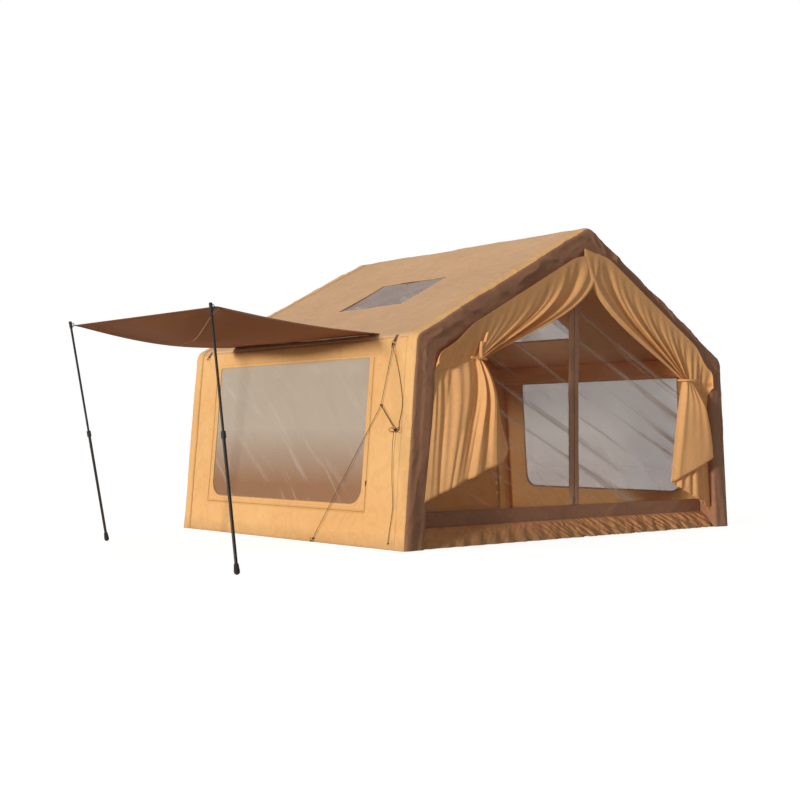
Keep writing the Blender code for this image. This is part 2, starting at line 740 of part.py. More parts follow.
def make_curtain(name, mirror, tie, hem, flap=False):
    """A tied-back curtain: its heading follows the post and rafter, and its waist is gathered."""
    ribs = [curtain_rib(tie, hem, j / CURTAIN_RIBS, flap) for j in range(CURTAIN_RIBS + 1)]
    grids = [[[mirrored(rib[i], mirror, back) for rib in ribs] for i in range(CURTAIN_ROWS + 1)]
             for back in (0.0, CURTAIN_CLOTH)]
    adopt("curtain_" + name, sheet_mesh("curtain_" + name, *grids), (CLOTH, 0.85, 0.0))

    height = curtain_height(tie)
    post = wall_x(2 * SLEEVE_RADIUS + GAP + 0.3 * TIE_BAND_RADIUS, height)
    free = tie[0] - TIE_BUNDLE / 2 - TIE_BAND_DEPTH / 2
    depth = CURTAIN_BULGE + CURTAIN_CLOTH + (CURTAIN_FLAP_DEPTH if flap else 0.0)
    back = FRONT_ARCH + CURTAIN_FOLD_DEPTH - CURTAIN_BULGE / 2
    band = []
    for x, z, forward in ((post, height, -0.3), (tie[0], tie[1], 0.0), (free, tie[1], 0.3),
                          (free - TIE_BAND_DEPTH / 3, tie[1], 0.6), (free, tie[1], 0.9),
                          (tie[0], tie[1], 1.1)):
        band.append(Vector((mirror * x, back - forward * (depth + TIE_BAND_DEPTH / 2), z)))
    route = smooth_route(band, 3)
    adopt("curtain_tie_" + name, tube_mesh("curtain_tie_" + name, route, TIE_BAND_RADIUS, 2),
          (CLOTH, 0.8, 0.0))
    return ribs[-1]


def make_flap(name, mirror, edge, tie, corner):
    """The curtain's turned-back layer: it lies in front, from the folded edge out to its own corner."""
    start = CURTAIN_ROWS // 2 + 1
    fold = edge[start:]
    head = Vector((tie[0] + TIE_BUNDLE / 2, fold[0].z))
    end = Vector(corner)
    layer = CURTAIN_CLOTH + GAP
    grids = [[], []]
    for i, point in enumerate(fold):
        down = i / (len(fold) - 1)
        outer = head.lerp(end, down) + Vector((FLAP_BOW * math.sin(math.pi * down), 0.0))
        rows = ([], [])
        for j in range(FLAP_RIBS + 1):
            share = j / FLAP_RIBS
            place = Vector((point.x, point.z)).lerp(outer, share)
            ripple = FLAP_RIPPLE * math.sin(2 * math.pi * share) * down
            y = point.y - layer - (CURTAIN_FLAP_DEPTH - ripple) * smooth_step(FLAP_RISE * share)
            spot = Vector((place.x, y, place.y))
            rows[0].append(mirrored(spot, mirror))
            rows[1].append(mirrored(spot, mirror, CURTAIN_CLOTH))
        grids[0].append(rows[0])
        grids[1].append(rows[1])
    adopt(name, sheet_mesh(name, *grids), (CLOTH, 0.85, 0.0))


# Awning and poles


def hinge_place():
    """Where the awning's inner edge turns, just off the roof above the eave."""
    place = roof_point(-HINGE_CLEARANCE, AWNING_HINGE_UP)
    return Vector((-place.x, place.y))


HINGE = hinge_place()
INNER_NEAR = solid(HINGE.x, HINGE.y, FRONT_FACE + AWNING_INNER_START)
INNER_BACK = solid(HINGE.x, HINGE.y, FRONT_FACE + AWNING_INNER_END)
WALL_FOOT = -BASE_WIDTH / 2
OUTER_NEAR = Vector((WALL_FOOT - NEAR_CORNER_OUT, FRONT_FACE + NEAR_CORNER_ALONG, NEAR_CORNER_HEIGHT))
OUTER_BACK = Vector((WALL_FOOT - BACK_CORNER_OUT, FRONT_FACE + BACK_CORNER_ALONG, BACK_CORNER_HEIGHT))
NEAR_FOOT = Vector((WALL_FOOT - NEAR_FOOT_OUT, FRONT_FACE + NEAR_FOOT_ALONG, FOOT_RADIUS))
BACK_FOOT = Vector((WALL_FOOT - BACK_FOOT_OUT, FRONT_FACE + BACK_FOOT_ALONG, FOOT_RADIUS))
AWNING_PIVOT = (HINGE.x, 0.0, HINGE.y)


def awning_point(across, out):
    """A point of the awning: across runs from the near to the back edge, out from the hinge."""
    inner = INNER_NEAR.lerp(INNER_BACK, across)
    outer = OUTER_NEAR.lerp(OUTER_BACK, across)
    point = inner.lerp(outer, out)
    belly = math.sin(math.pi * across) ** 2 * math.sin(math.pi * min(1.0, 0.55 * out + 0.45 * out * out))
    edge = (0.4 + 0.6 * across) * math.sin(math.pi * out)
    return point - Vector((0.0, 0.0, AWNING_SAG * belly + AWNING_EDGE_SAG * edge))


def make_awning():
    toward = Vector((HINGE_OVERHANG, 0.0, 0.0))
    lift = Vector((0.0, 0.0, AWNING_CLOTH / 2))
    grids = [[], []]
    for i in range(AWNING_STEPS + 1):
        line = [awning_point(j / AWNING_STEPS, i / AWNING_STEPS) for j in range(AWNING_STEPS + 1)]
        if i == 0:
            line = [point + toward for point in line]
        grids[0].append([point - lift for point in line])
        grids[1].append([point + lift for point in line])
    adopt("awning", sheet_mesh("awning", *grids), (CLOTH, 0.85, 0.0), AWNING_PIVOT)


def pole_layout(corner, other, inner, foot):
    """Directions and places shared by a corner's strap, ring and pole."""
    outward = (corner - inner).normalized()
    sideways = (other - corner).normalized()
    normal = outward.cross(sideways).normalized()
    if normal.z < 0.0:
        normal.negate()
    under = AWNING_CLOTH / 2 + 2 * GAP + STRAP_THICKNESS / 2
    middle = corner + sideways * (STRAP_WIDTH / 2) - normal * under
    eye = middle + outward * (STRAP_EYE_OUT + STRAP_EYE_RADIUS - RING_WIRE - STRAP_EYE_SLACK)
    pivot = eye + outward * RING_RADIUS
    start = pivot + outward * (RING_RADIUS + POLE_HEAD_RADIUS - RING_WIRE)
    down = (foot - start).normalized()
    axis = down.cross(-outward).normalized()
    return {"outward": outward, "sideways": sideways, "normal": normal, "middle": middle,
            "eye": eye, "pivot": pivot, "axis": axis, "start": start, "down": down,
            "length": (foot - start).length}


def make_strap(name, layout):
    """The webbing tab under an awning corner, with the eye that the ring runs through."""
    reach = STRAP_EYE_OUT + STRAP_EYE_RADIUS + STRAP_RIM
    length = STRAP_LAP + reach
    matrix = frame_matrix(layout["middle"], layout["outward"],
                          layout["normal"].cross(layout["outward"]), layout["normal"])
    strap = box_mesh(name, (length, STRAP_WIDTH, STRAP_THICKNESS), (reach - length / 2, 0.0, 0.0))
    strap.transform(matrix)
    tool = tube_mesh(name + "_eye", [(STRAP_EYE_OUT, 0.0, -STRAP_WIDTH), (STRAP_EYE_OUT, 0.0, STRAP_WIDTH)],
                     STRAP_EYE_RADIUS, 4)
    tool.transform(matrix)
    thing = adopt(name, strap, (CLOTH, 0.8, 0.0), AWNING_PIVOT)
    carve(thing, cutter(name + "_eye", tool))


def pole_matrix(layout, distance):
    """Local +Z points up the pole, with the origin a distance down from its start."""
    up = -layout["down"]
    axis = layout["axis"]
    origin = layout["start"] + layout["down"] * distance
    return frame_matrix(origin, axis, up.cross(axis).normalized(), up)


def make_pole(name, layout):
    pivot = layout["pivot"]
    length = layout["length"]
    joint = length * POLE_JOINT_SHARE

    head_low = POLE_HEAD_LENGTH - POLE_HEAD_RISE
    bore = POLE_INNER_RADIUS + GAP
    head = turned_mesh(name + "_head", [
        (0.0, POLE_HEAD_RISE), (POLE_HEAD_RADIUS * 0.7, POLE_HEAD_RISE),
        (POLE_HEAD_RADIUS, POLE_HEAD_RISE - POLE_HEAD_RADIUS * 0.3), (POLE_HEAD_RADIUS, -head_low),
        (bore, -head_low), (bore, 0.0), (0.0, 0.0)])
    head.transform(pole_matrix(layout, 0.0))
    cap = adopt(name + "_head", head, (DARK, 0.5, 0.0), pivot)
    ring = torus_mesh(name + "_ring", RING_RADIUS, RING_WIRE)
    ring.transform(frame_matrix(pivot, layout["outward"], layout["axis"].cross(layout["outward"]),
                                layout["axis"]))
    carve(cap, cutter(name + "_ring_shape", ring), "UNION")
    ends = [(0.0, 0.0, -head_low - OVERRUN), (0.0, 0.0, -SMALL_OVERRUN)]
    relief = tube_mesh(name + "_relief", ends, bore, 4)
    relief.transform(pole_matrix(layout, 0.0))
    carve(cap, cutter(name + "_relief", relief))

    upper_end = joint + POLE_OVERLAP
    upper = tube_mesh(name + "_upper", [(0.0, 0.0, -SMALL_OVERRUN - GAP), (0.0, 0.0, -upper_end)],
                      POLE_INNER_RADIUS, 4)
    upper.transform(pole_matrix(layout, 0.0))
    adopt(name + "_upper", upper, (DARK, 0.4, 0.6), pivot, smooth=True)

    inside = POLE_INNER_RADIUS + POLE_BORE_CLEARANCE
    lower = turned_mesh(name + "_lower", [
        (inside, -joint), (POLE_OUTER_RADIUS, -joint), (POLE_OUTER_RADIUS, -length + FOOT_RADIUS),
        (0.0, -length + FOOT_RADIUS), (0.0, -length + 2 * FOOT_RADIUS),
        (inside, -length + 2 * FOOT_RADIUS), (inside, -joint)])
    lower.transform(pole_matrix(layout, 0.0))
    adopt(name + "_lower", lower, (DARK, 0.4, 0.6), pivot, smooth=True)

    around = POLE_OUTER_RADIUS + GAP
    collar = turned_mesh(name + "_collar", [
        (inside, -joint + COLLAR_LENGTH / 2), (COLLAR_RADIUS, -joint + COLLAR_LENGTH / 2),
        (COLLAR_RADIUS, -joint - COLLAR_LENGTH / 2), (around, -joint - COLLAR_LENGTH / 2),
        (around, -joint + GAP), (inside, -joint + GAP), (inside, -joint + COLLAR_LENGTH / 2)])
    collar.transform(pole_matrix(layout, 0.0))
    adopt(name + "_collar", collar, (DARK, 0.5, 0.0), pivot)

    foot_profile = [(around, -length + FOOT_LENGTH), (around + 0.2 * FOOT_RADIUS, -length + FOOT_LENGTH)]
    foot_profile += [(FOOT_RADIUS * math.cos(a), -length + FOOT_RADIUS * math.sin(a))
                     for a in (-math.pi / 2 * i / 5 for i in range(6))]
    foot_profile += [(0.0, -length + FOOT_RADIUS - GAP), (around, -length + FOOT_RADIUS - GAP),
                     (around, -length + FOOT_LENGTH)]
    foot = turned_mesh(name + "_foot", foot_profile)
    foot.transform(pole_matrix(layout, 0.0))
    adopt(name + "_foot", foot, (DARK, 0.7, 0.0), pivot)


# Small fittings


def wall_frame(mirror, along_wall, height, out=GAP):
    """A frame on a long wall: local X runs level along it, Y up it and Z out of it."""
    wall = wall_directions()[0]
    up = Vector((mirror * wall.x, 0.0, wall.y))
    level = Vector((0.0, mirror, 0.0))
    origin = Vector((mirror * wall_x(-out, height), FRONT_FACE + along_wall, height))
    return frame_matrix(origin, level, up, level.cross(up).normalized())


def bend_frame(mirror, along_wall, station):
    """The same kind of frame, on one facet of the eave's bend."""
    low, high = half_outline(-GAP)[1 + station:3 + station]
    middle = (low + high) / 2
    rise = (high - low).normalized()
    up = Vector((mirror * rise.x, 0.0, rise.y))
    level = Vector((0.0, mirror, 0.0))
    origin = Vector((mirror * middle.x, FRONT_FACE + along_wall, middle.y))
    return frame_matrix(origin, level, up, level.cross(up).normalized())


RING_STAND_OFF = TAB_LOOP_RADIUS + TAB_LOOP_WIRE
RING_DROP = TAB_LENGTH / 2 + TAB_LOOP_RADIUS - TAB_LOOP_WIRE - GUY_RING_WIRE - STRAP_EYE_SLACK


def make_corner_tab(name, mirror, along_wall):
    """A webbing tab sewn on the eave's bend, with the ring that hangs in its loop."""
    matrix = bend_frame(mirror, along_wall, CORNER_TAB_STEPS)
    tab = box_mesh(name, (TAB_WIDTH, TAB_LENGTH, TAB_THICKNESS), (0.0, 0.0, TAB_THICKNESS / 2))
    tab.transform(matrix)
    thing = adopt(name + "_tab", tab, (CLOTH, 0.8, 0.0))
    loop = torus_mesh(name + "_loop", TAB_LOOP_RADIUS, TAB_LOOP_WIRE, 16, 8)
    loop.transform(frame_matrix(Vector((0.0, -TAB_LENGTH / 2, RING_STAND_OFF)), Vector((0.0, 1.0, 0.0)),
                                Vector((0.0, 0.0, 1.0)), Vector((1.0, 0.0, 0.0))))
    loop.transform(matrix)
    carve(thing, cutter(name + "_loop", loop), "UNION")
    ring = torus_mesh(name + "_ring", GUY_RING_RADIUS, GUY_RING_WIRE, 20, 8)
    ring.transform(Matrix.Translation((0.0, -RING_DROP - GUY_RING_RADIUS, RING_STAND_OFF)))
    ring.transform(matrix)
    adopt(name + "_ring", ring, (STEEL, 0.3, 1.0), smooth=True)


def make_peg_loop(name, mirror, along_wall):
    """Half a ring of webbing at the hem, which a ground peg goes through."""
    steps = 8
    height = PEG_LOOP_WIRE + 3 * ROPE_RADIUS
    centre = Vector((mirror * wall_x(-0.3 * PEG_LOOP_WIRE - GAP, height), FRONT_FACE + along_wall, height))
    points = []
    for i in range(steps + 1):
        angle = math.pi * i / steps
        points.append(centre + Vector((mirror * PEG_LOOP_RADIUS * math.sin(angle),
                                       PEG_LOOP_RADIUS * math.cos(angle), 0.0)))
    adopt(name, tube_mesh(name, points, PEG_LOOP_WIRE, 2), (CLOTH, 0.8, 0.0))
    return centre + Vector((mirror * PEG_LOOP_RADIUS, 0.0, 0.0))


def smooth_route(points, steps):
    """A Catmull-Rom curve through the points."""
    ends = [points[0] * 2 - points[1]] + points + [points[-1] * 2 - points[-2]]
    route = []
    for a, b, c, d in zip(ends, ends[1:], ends[2:], ends[3:]):
        for i in range(steps):
            t = i / steps
            route.append(0.5 * (2 * b + (c - a) * t + (2 * a - 5 * b + 4 * c - d) * t * t
                                + (3 * b - a - 3 * c + d) * t * t * t))
    route.append(points[-1])
    return route


def hairpin(centre, over, across, radius, steps=6):
    """A half turn round a wire: it starts on the across side and passes over to the other."""
    angles = [math.pi * i / steps for i in range(steps + 1)]
    return [centre + (across * math.cos(a) + over * math.sin(a)) * radius for a in angles]


def on_wall(place):
    """A point on the left wall, from its distance along it, its height and how far it stands out."""
    along_wall, height, out = place
    return Vector((-wall_x(-out, height), FRONT_FACE + along_wall, height))


def make_ropes(peg):
    """The guy rope from the front left ring to its peg loop, and the spare rope tied up on it."""
    matrix = bend_frame(-1.0, CORNER_TAB_ALONG, CORNER_TAB_STEPS)
    wire = Vector((0.0, -RING_DROP - 2 * GUY_RING_RADIUS, RING_STAND_OFF))
    clear = GUY_RING_WIRE + ROPE_LAYER
    apart = Vector((ROPE_LAYER, 0.0, 0.0))
    up_wall = Vector((0.0, 1.0, 0.0))
    off_wall = Vector((0.0, 0.0, 1.0))
    first, second = [[matrix @ point for point in hairpin(wire + shift, up_wall, off_wall, clear)]
                     for shift in (-apart, apart)]

    elbow = on_wall((ELBOW_ALONG, ELBOW_HEIGHT, ELBOW_SEAT))
    tail = (elbow - first[0]).normalized() * ROPE_TAIL
    foot = hairpin(peg, Vector((0.0, 0.0, -1.0)), Vector((1.0, 0.0, 0.0)),
                   PEG_LOOP_WIRE + ROPE_LAYER)
    end = foot[-1] + Vector((0.0, 0.0, ROPE_TAIL))
    adopt("guy_rope", tube_mesh("guy_rope", [first[0] + tail] + first + [elbow] + foot + [end],
                                ROPE_RADIUS, 2), (CORD, 0.8, 0.0))

    knot = on_wall((KNOT_ALONG, KNOT_HEIGHT, ROPE_SEAT))
    toward = (elbow - knot).normalized()
    wall = wall_directions()[0]
    outward = Vector((-wall.y, 0.0, -wall.x))
    beside = toward.cross(outward).normalized() * (1.5 * ROPE_RADIUS)
    turn = hairpin(elbow, toward, outward, 2.6 * ROPE_RADIUS)
    shares = [1.0 - 2.0 * i / (len(turn) - 1) for i in range(len(turn))]
    turn = [point + beside * share for point, share in zip(turn, shares)]
    route = [second[0] + tail.normalized() * ROPE_TAIL / 2] + second
    route += [on_wall((place[0], place[1], ROPE_SEAT)) for place in STRAND_PLACES]
    route += [knot + beside, turn[0] - toward * ROPE_TAIL] + turn
    route += [turn[-1] - toward * ROPE_TAIL, knot - beside + outward * ROPE_LAYER]
    for i, (across, rise) in enumerate(BOW_SHARES):
        route.append(on_wall((KNOT_ALONG + across * BOW_WIDTH / 2, KNOT_HEIGHT + rise * BOW_HEIGHT,
                              2 * ROPE_SEAT + i * ROPE_LAYER)))
    for across, share in TAIL_SHARES:
        out = ROPE_SEAT * (1.0 + 2.0 * smooth_step(share - 0.1))
        route.append(on_wall((KNOT_ALONG + across * BOW_WIDTH, KNOT_HEIGHT * share, out)))
    adopt("spare_rope", tube_mesh("spare_rope", smooth_route(route, 2), ROPE_RADIUS, 2), (CORD, 0.8, 0.0))


def make_valve(name, mirror):
    """An inflation valve on the rear arch, with its hinged cap."""
    post = half_outline(AXIS_INSET, VALVE_HEIGHT)[0]
    base = Vector((mirror * post.x, REAR_ARCH + BEAM_RADIUS + GAP, VALVE_HEIGHT))
    matrix = facing_back(base)
    top = VALVE_FLANGE + VALVE_NECK
    body = turned_mesh(name + "_body", [
        (VALVE_BORE, VALVE_FLANGE), (VALVE_BORE, top), (VALVE_NECK_RADIUS, top),
        (VALVE_NECK_RADIUS, VALVE_FLANGE), (VALVE_FLANGE_RADIUS, VALVE_FLANGE), (VALVE_FLANGE_RADIUS, 0.0),
        (0.0, 0.0), (0.0, VALVE_FLANGE), (VALVE_BORE, VALVE_FLANGE)], 20)
    body.transform(matrix)
    adopt(name + "_body", body, (DARK, 0.5, 0.0))
    inner = VALVE_NECK_RADIUS + CAP_CLEARANCE
    outer = inner + CAP_WALL
    lid = top + GAP
    cap = turned_mesh(name + "_cap", [
        (0.0, lid + CAP_WALL), (outer, lid + CAP_WALL), (outer, lid - CAP_SKIRT),
        (inner, lid - CAP_SKIRT), (inner, lid), (0.0, lid)], 20)
    cap.transform(matrix)
    hinge = base + Vector((0.0, lid - CAP_SKIRT, -VALVE_FLANGE_RADIUS))
    adopt(name + "_cap", cap, (DARK, 0.5, 0.0), hinge)
    return hinge


def valve_tools():
    tools = []
    for name, mirror in (("left", -1.0), ("right", 1.0)):
        post = half_outline(AXIS_INSET, VALVE_HEIGHT)[0]
        radius = VALVE_FLANGE_RADIUS + VALVE_HOLE_MARGIN
        ends = [Vector((mirror * post.x, REAR_ARCH + depth, VALVE_HEIGHT))
                for depth in (BEAM_RADIUS / 2, SLEEVE_RADIUS + OVERRUN)]
        mesh = tube_mesh("valve_hole_" + name, ends, radius, 4)
        tools.append(cutter("valve_hole_" + name, mesh))
    return tools


make_frame()
make_arch_cover("front_arch_cover", FRONT_ARCH, 1.0)
make_arch_cover("rear_arch_cover", REAR_ARCH, -1.0, valve_tools())
for side_name, side in (("left", -1.0), ("right", 1.0)):
    make_side(side_name, side)
    make_roof(side_name, side, LEFT_ROOF_WINDOW if side < 0.0 else RIGHT_ROOF_WINDOW)
make_rear_wall()
make_sill()
make_skirt()

LEAF_HINGES = {}
for side_name, side in (("left", -1.0), ("right", 1.0)):
    LEAF_HINGES[side_name] = make_leaf(side_name, side)

slider_x = -GAP - SLIDER_WIDTH / 2 - SMALL_OVERRUN
slider_y = LEAF_PLANE - 2 * GAP - ZIP_STRIP_THICKNESS
slider_z = SILL_TOP + PULL_LENGTH + SLIDER_LENGTH
DOOR_SLIDER = Vector((slider_x, slider_y, slider_z))
make_slider("door_zip_slider", Matrix.Translation(DOOR_SLIDER), DOOR_SLIDER)

make_curtain("left", -1.0, LEFT_TIE, LEFT_HEM)
FOLD_EDGE = make_curtain("right", 1.0, RIGHT_TIE, RIGHT_HEM, True)
make_flap("curtain_flap_right", 1.0, FOLD_EDGE, RIGHT_TIE, RIGHT_FLAP_CORNER)

make_awning()
LAST_ROW = 1.0 - 1.0 / AWNING_STEPS
NEAR = pole_layout(OUTER_NEAR, OUTER_BACK, awning_point(0.0, LAST_ROW), NEAR_FOOT)
BACK = pole_layout(OUTER_BACK, OUTER_NEAR, awning_point(1.0, LAST_ROW), BACK_FOOT)
for pole_name, pole_place in (("near_pole", NEAR), ("back_pole", BACK)):
    make_strap(pole_name + "_strap", pole_place)
    make_pole(pole_name, pole_place)

for side_name, side in (("left", -1.0), ("right", 1.0)):
    make_corner_tab("front_guy_" + side_name, side, CORNER_TAB_ALONG)
    make_corner_tab("rear_guy_" + side_name, side, BASE_DEPTH - CORNER_TAB_ALONG)
PEG = make_peg_loop("guy_peg_loop", -1.0, PEG_LOOP_ALONG)
make_ropes(PEG)

VALVE_HINGES = {}
for side_name, side in (("left", -1.0), ("right", 1.0)):
    VALVE_HINGES[side_name] = make_valve("valve_" + side_name, side)


def settle(left_out):
    """Moves everything so that the tent's middle, without the spare rope, is at the origin."""
    depsgraph = bpy.context.evaluated_depsgraph_get()
    low = Vector((math.inf, math.inf))
    high = -low
    for thing in TENT.objects:
        if thing.name in left_out:
            continue
        seen = thing.evaluated_get(depsgraph)
        for vertex in seen.data.vertices:
            place = seen.matrix_world @ vertex.co
            low = Vector((min(low.x, place.x), min(low.y, place.y)))
            high = Vector((max(high.x, place.x), max(high.y, place.y)))
    shift = Vector((*(-(low + high) / 2), 0.0))
    for thing in list(TENT.objects) + list(CUTTERS.objects):
        thing.location = thing.location + shift
    return shift


SHIFT = settle(("spare_rope",))
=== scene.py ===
import json
import math

import bmesh
import bpy
from mathutils import Matrix, Vector, geometry, noise


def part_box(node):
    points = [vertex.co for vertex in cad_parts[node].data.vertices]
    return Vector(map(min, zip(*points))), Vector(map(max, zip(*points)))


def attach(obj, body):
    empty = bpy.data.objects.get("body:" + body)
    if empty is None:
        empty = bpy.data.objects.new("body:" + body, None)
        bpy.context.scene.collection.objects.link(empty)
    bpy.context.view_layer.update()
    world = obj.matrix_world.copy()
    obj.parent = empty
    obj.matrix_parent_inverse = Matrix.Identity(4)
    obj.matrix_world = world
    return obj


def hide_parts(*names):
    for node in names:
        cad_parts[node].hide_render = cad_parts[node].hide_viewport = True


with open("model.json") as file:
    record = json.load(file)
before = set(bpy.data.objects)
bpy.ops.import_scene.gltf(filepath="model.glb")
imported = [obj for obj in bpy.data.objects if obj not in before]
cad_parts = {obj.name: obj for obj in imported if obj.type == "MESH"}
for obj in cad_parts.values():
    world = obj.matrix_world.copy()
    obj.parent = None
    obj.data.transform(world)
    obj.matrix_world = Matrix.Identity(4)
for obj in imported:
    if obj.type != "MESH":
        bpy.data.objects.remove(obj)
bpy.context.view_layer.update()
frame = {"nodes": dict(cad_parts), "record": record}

# Sizes shared with the frame, in metres, in the tent's own coordinates

BASE_WIDTH, BASE_DEPTH = 4.00, 2.84
RIDGE_PEAK, EAVE_PEAK = 2.49, 1.50
WALL_LEAN = 0.12
BEAM_RADIUS, CROSS_BEAM_RADIUS = 0.10, 0.085
SLEEVE_RADIUS, SLEEVE_RETURN, SLEEVE_CORNER = 0.1034, 0.07, 0.30
BEND_ROUND = 0.0884
COVER, FILM, CURTAIN, GAP = 0.003, 0.0012, 0.002, 0.0003
FRONT_FACE = -BASE_DEPTH / 2
FRONT_ARCH = SLEEVE_RADIUS - BASE_DEPTH / 2
REAR_ARCH = -FRONT_ARCH
INNER_INSET = 2 * SLEEVE_RADIUS + GAP
LEAF_PLANE = FRONT_ARCH + 0.06
LEAF_INSET = 2 * SLEEVE_RADIUS + 0.012
WINDOW_NEAR, WINDOW_FAR = FRONT_FACE + 0.49, FRONT_FACE + (BASE_DEPTH - 0.42)
WINDOW_SILL, WINDOW_HEAD = 0.300, 1.360
WINDOW_CORNER, TOP_CORNER = 0.12, 0.02
ZIP_MARGIN, ZIP_WIDTH = 0.055, 0.012
SLIDER_HEIGHT, SLIDER_TRAVEL = 0.46, 0.80
ROOF_WINDOW_LENGTH, ROOF_WINDOW_WIDTH = 0.80, 0.58
ROOF_WINDOWS = {"left": (1.33, 1.01), "right": (1.64, 0.82)}
SILL_BOTTOM, SILL_TOP = 0.13, 0.25
STRIP_WIDTH = 0.062
FILM_LAP = 0.015

# How finely the cloth is meshed, and how near to the ground it comes
SHEET_SPACING, FILM_SPACING, WIDE_SPACING = 0.028, 0.03, 0.036
WALL_FINE, ROOF_FINE = 0.20, 0.24
BAND_STEP, ZIP_STEP, WEBBING_STEP = 0.02, 0.012, 0.003
SLEEVE_STEPS, ARCH_STEPS, CROSS_STEPS, BEAM_SIDES, BAND_STEPS = 300, 130, 120, 28, 180
ON_GROUND, HEM_GROUND, FOOT_LIFT = 0.001, 0.004, 0.0015

# The tent's own coordinates are moved into the frame's by this shift
COVER_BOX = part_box("front_arch_cover")
SHIFT = Vector(((COVER_BOX[0][0] + COVER_BOX[1][0]) / 2, COVER_BOX[0][1] - FRONT_FACE, 0.0))
LEVEL, UP = Vector((1.0, 0.0, 0.0)), Vector((0.0, 0.0, 1.0))
TO_FRONT = Vector((0.0, -1.0, 0.0))


def at(x, y, z):
    """A point given in the tent's own coordinates, in the frame's."""
    return Vector((x, y, z)) + SHIFT


def clamp(value, low=0.0, high=1.0):
    return max(low, min(high, value))


def smooth(value):
    value = clamp(value)
    return value * value * (3.0 - 2.0 * value)


def shares(count):
    """Even steps from 0 to 1."""
    return [i / count for i in range(count + 1)]


def soft(x, y, seed):
    return noise.noise(Vector((x, y, seed)))


def ridged(x, y, seed, sharp=4.0):
    """A field of sharp creases, from 0 to 1."""
    return (1.0 - min(1.0, abs(soft(x, y, seed)) * 2.2)) ** sharp


def frame_matrix(origin, x_axis, y_axis, z_axis):
    return Matrix.Translation(origin) @ Matrix((x_axis, y_axis, z_axis)).transposed().to_4x4()


# The section of the shelter, up its right half

EAVE_STEPS, RIDGE_STEPS = 24, 12


def make_section():
    """Stations of the section: point, how it moves per metre of inset, and inward normal."""
    wall = Vector((-WALL_LEAN, EAVE_PEAK)).normalized()
    roof = Vector((WALL_LEAN - BASE_WIDTH / 2, RIDGE_PEAK - EAVE_PEAK)).normalized()
    in_wall, in_roof = Vector((-wall.y, wall.x)), Vector((-roof.y, roof.x))
    mitre = (in_wall + in_roof) / (1.0 + in_wall.dot(in_roof))
    drop = Vector((0.0, 1.0 / in_roof.y))
    eave = Vector((BASE_WIDTH / 2 - WALL_LEAN, EAVE_PEAK)) + mitre * BEND_ROUND
    ridge = Vector((0.0, RIDGE_PEAK)) + drop * BEND_ROUND
    start = eave - in_wall * BEND_ROUND
    stations = [(start - wall * (start.y / wall.y), mitre - wall * (mitre.y / wall.y), in_wall)]
    low, high = math.atan2(-in_wall.y, -in_wall.x), math.atan2(-in_roof.y, -in_roof.x)
    for centre, move, first, last, steps in ((eave, mitre, low, high, EAVE_STEPS),
                                             (ridge, drop, high, math.pi / 2, RIDGE_STEPS)):
        for i in range(steps + 1):
            angle = first + (last - first) * i / steps
            out = Vector((math.cos(angle), math.sin(angle)))
            stations.append((centre + out * BEND_ROUND, move, -out))
    lengths = [0.0]
    for a, b in zip(stations, stations[1:]):
        lengths.append(lengths[-1] + (b[0] - a[0]).length)
    return stations, lengths


SECTION, LENGTHS = make_section()
ROOF_START = EAVE_STEPS + 1
S_ROOF, S_RIDGE = LENGTHS[ROOF_START], LENGTHS[-1]
S_SEAM = (LENGTHS[1] + S_ROOF) / 2


def section(s):
    """(point, move per inset, inward normal) at a length s up the section."""
    i = 0
    while i < len(LENGTHS) - 2 and s > LENGTHS[i + 1]:
        i += 1
    share = clamp((s - LENGTHS[i]) / (LENGTHS[i + 1] - LENGTHS[i]), -1.0)
    (a, move_a, in_a), (b, move_b, in_b) = SECTION[i], SECTION[i + 1]
    return a.lerp(b, share), move_a.lerp(move_b, share), in_a.lerp(in_b, share).normalized()


def wall_s(z):
    return z * LENGTHS[1] / SECTION[1][0].y


def wall_x(inset, z):
    foot = SECTION[0][0] + SECTION[0][1] * inset
    top = SECTION[1][0] + SECTION[1][1] * inset
    return foot.x + (top.x - foot.x) * z / top.y


def outline(inset, lowest):
    """The right half of the section at an inset, as points from a height to the ridge."""
    points = [Vector((wall_x(inset, lowest), lowest))]
    points += [point + move * inset for point, move, _ in SECTION[1:]]
    points[-1].x = 0.0
    return points


# Materials


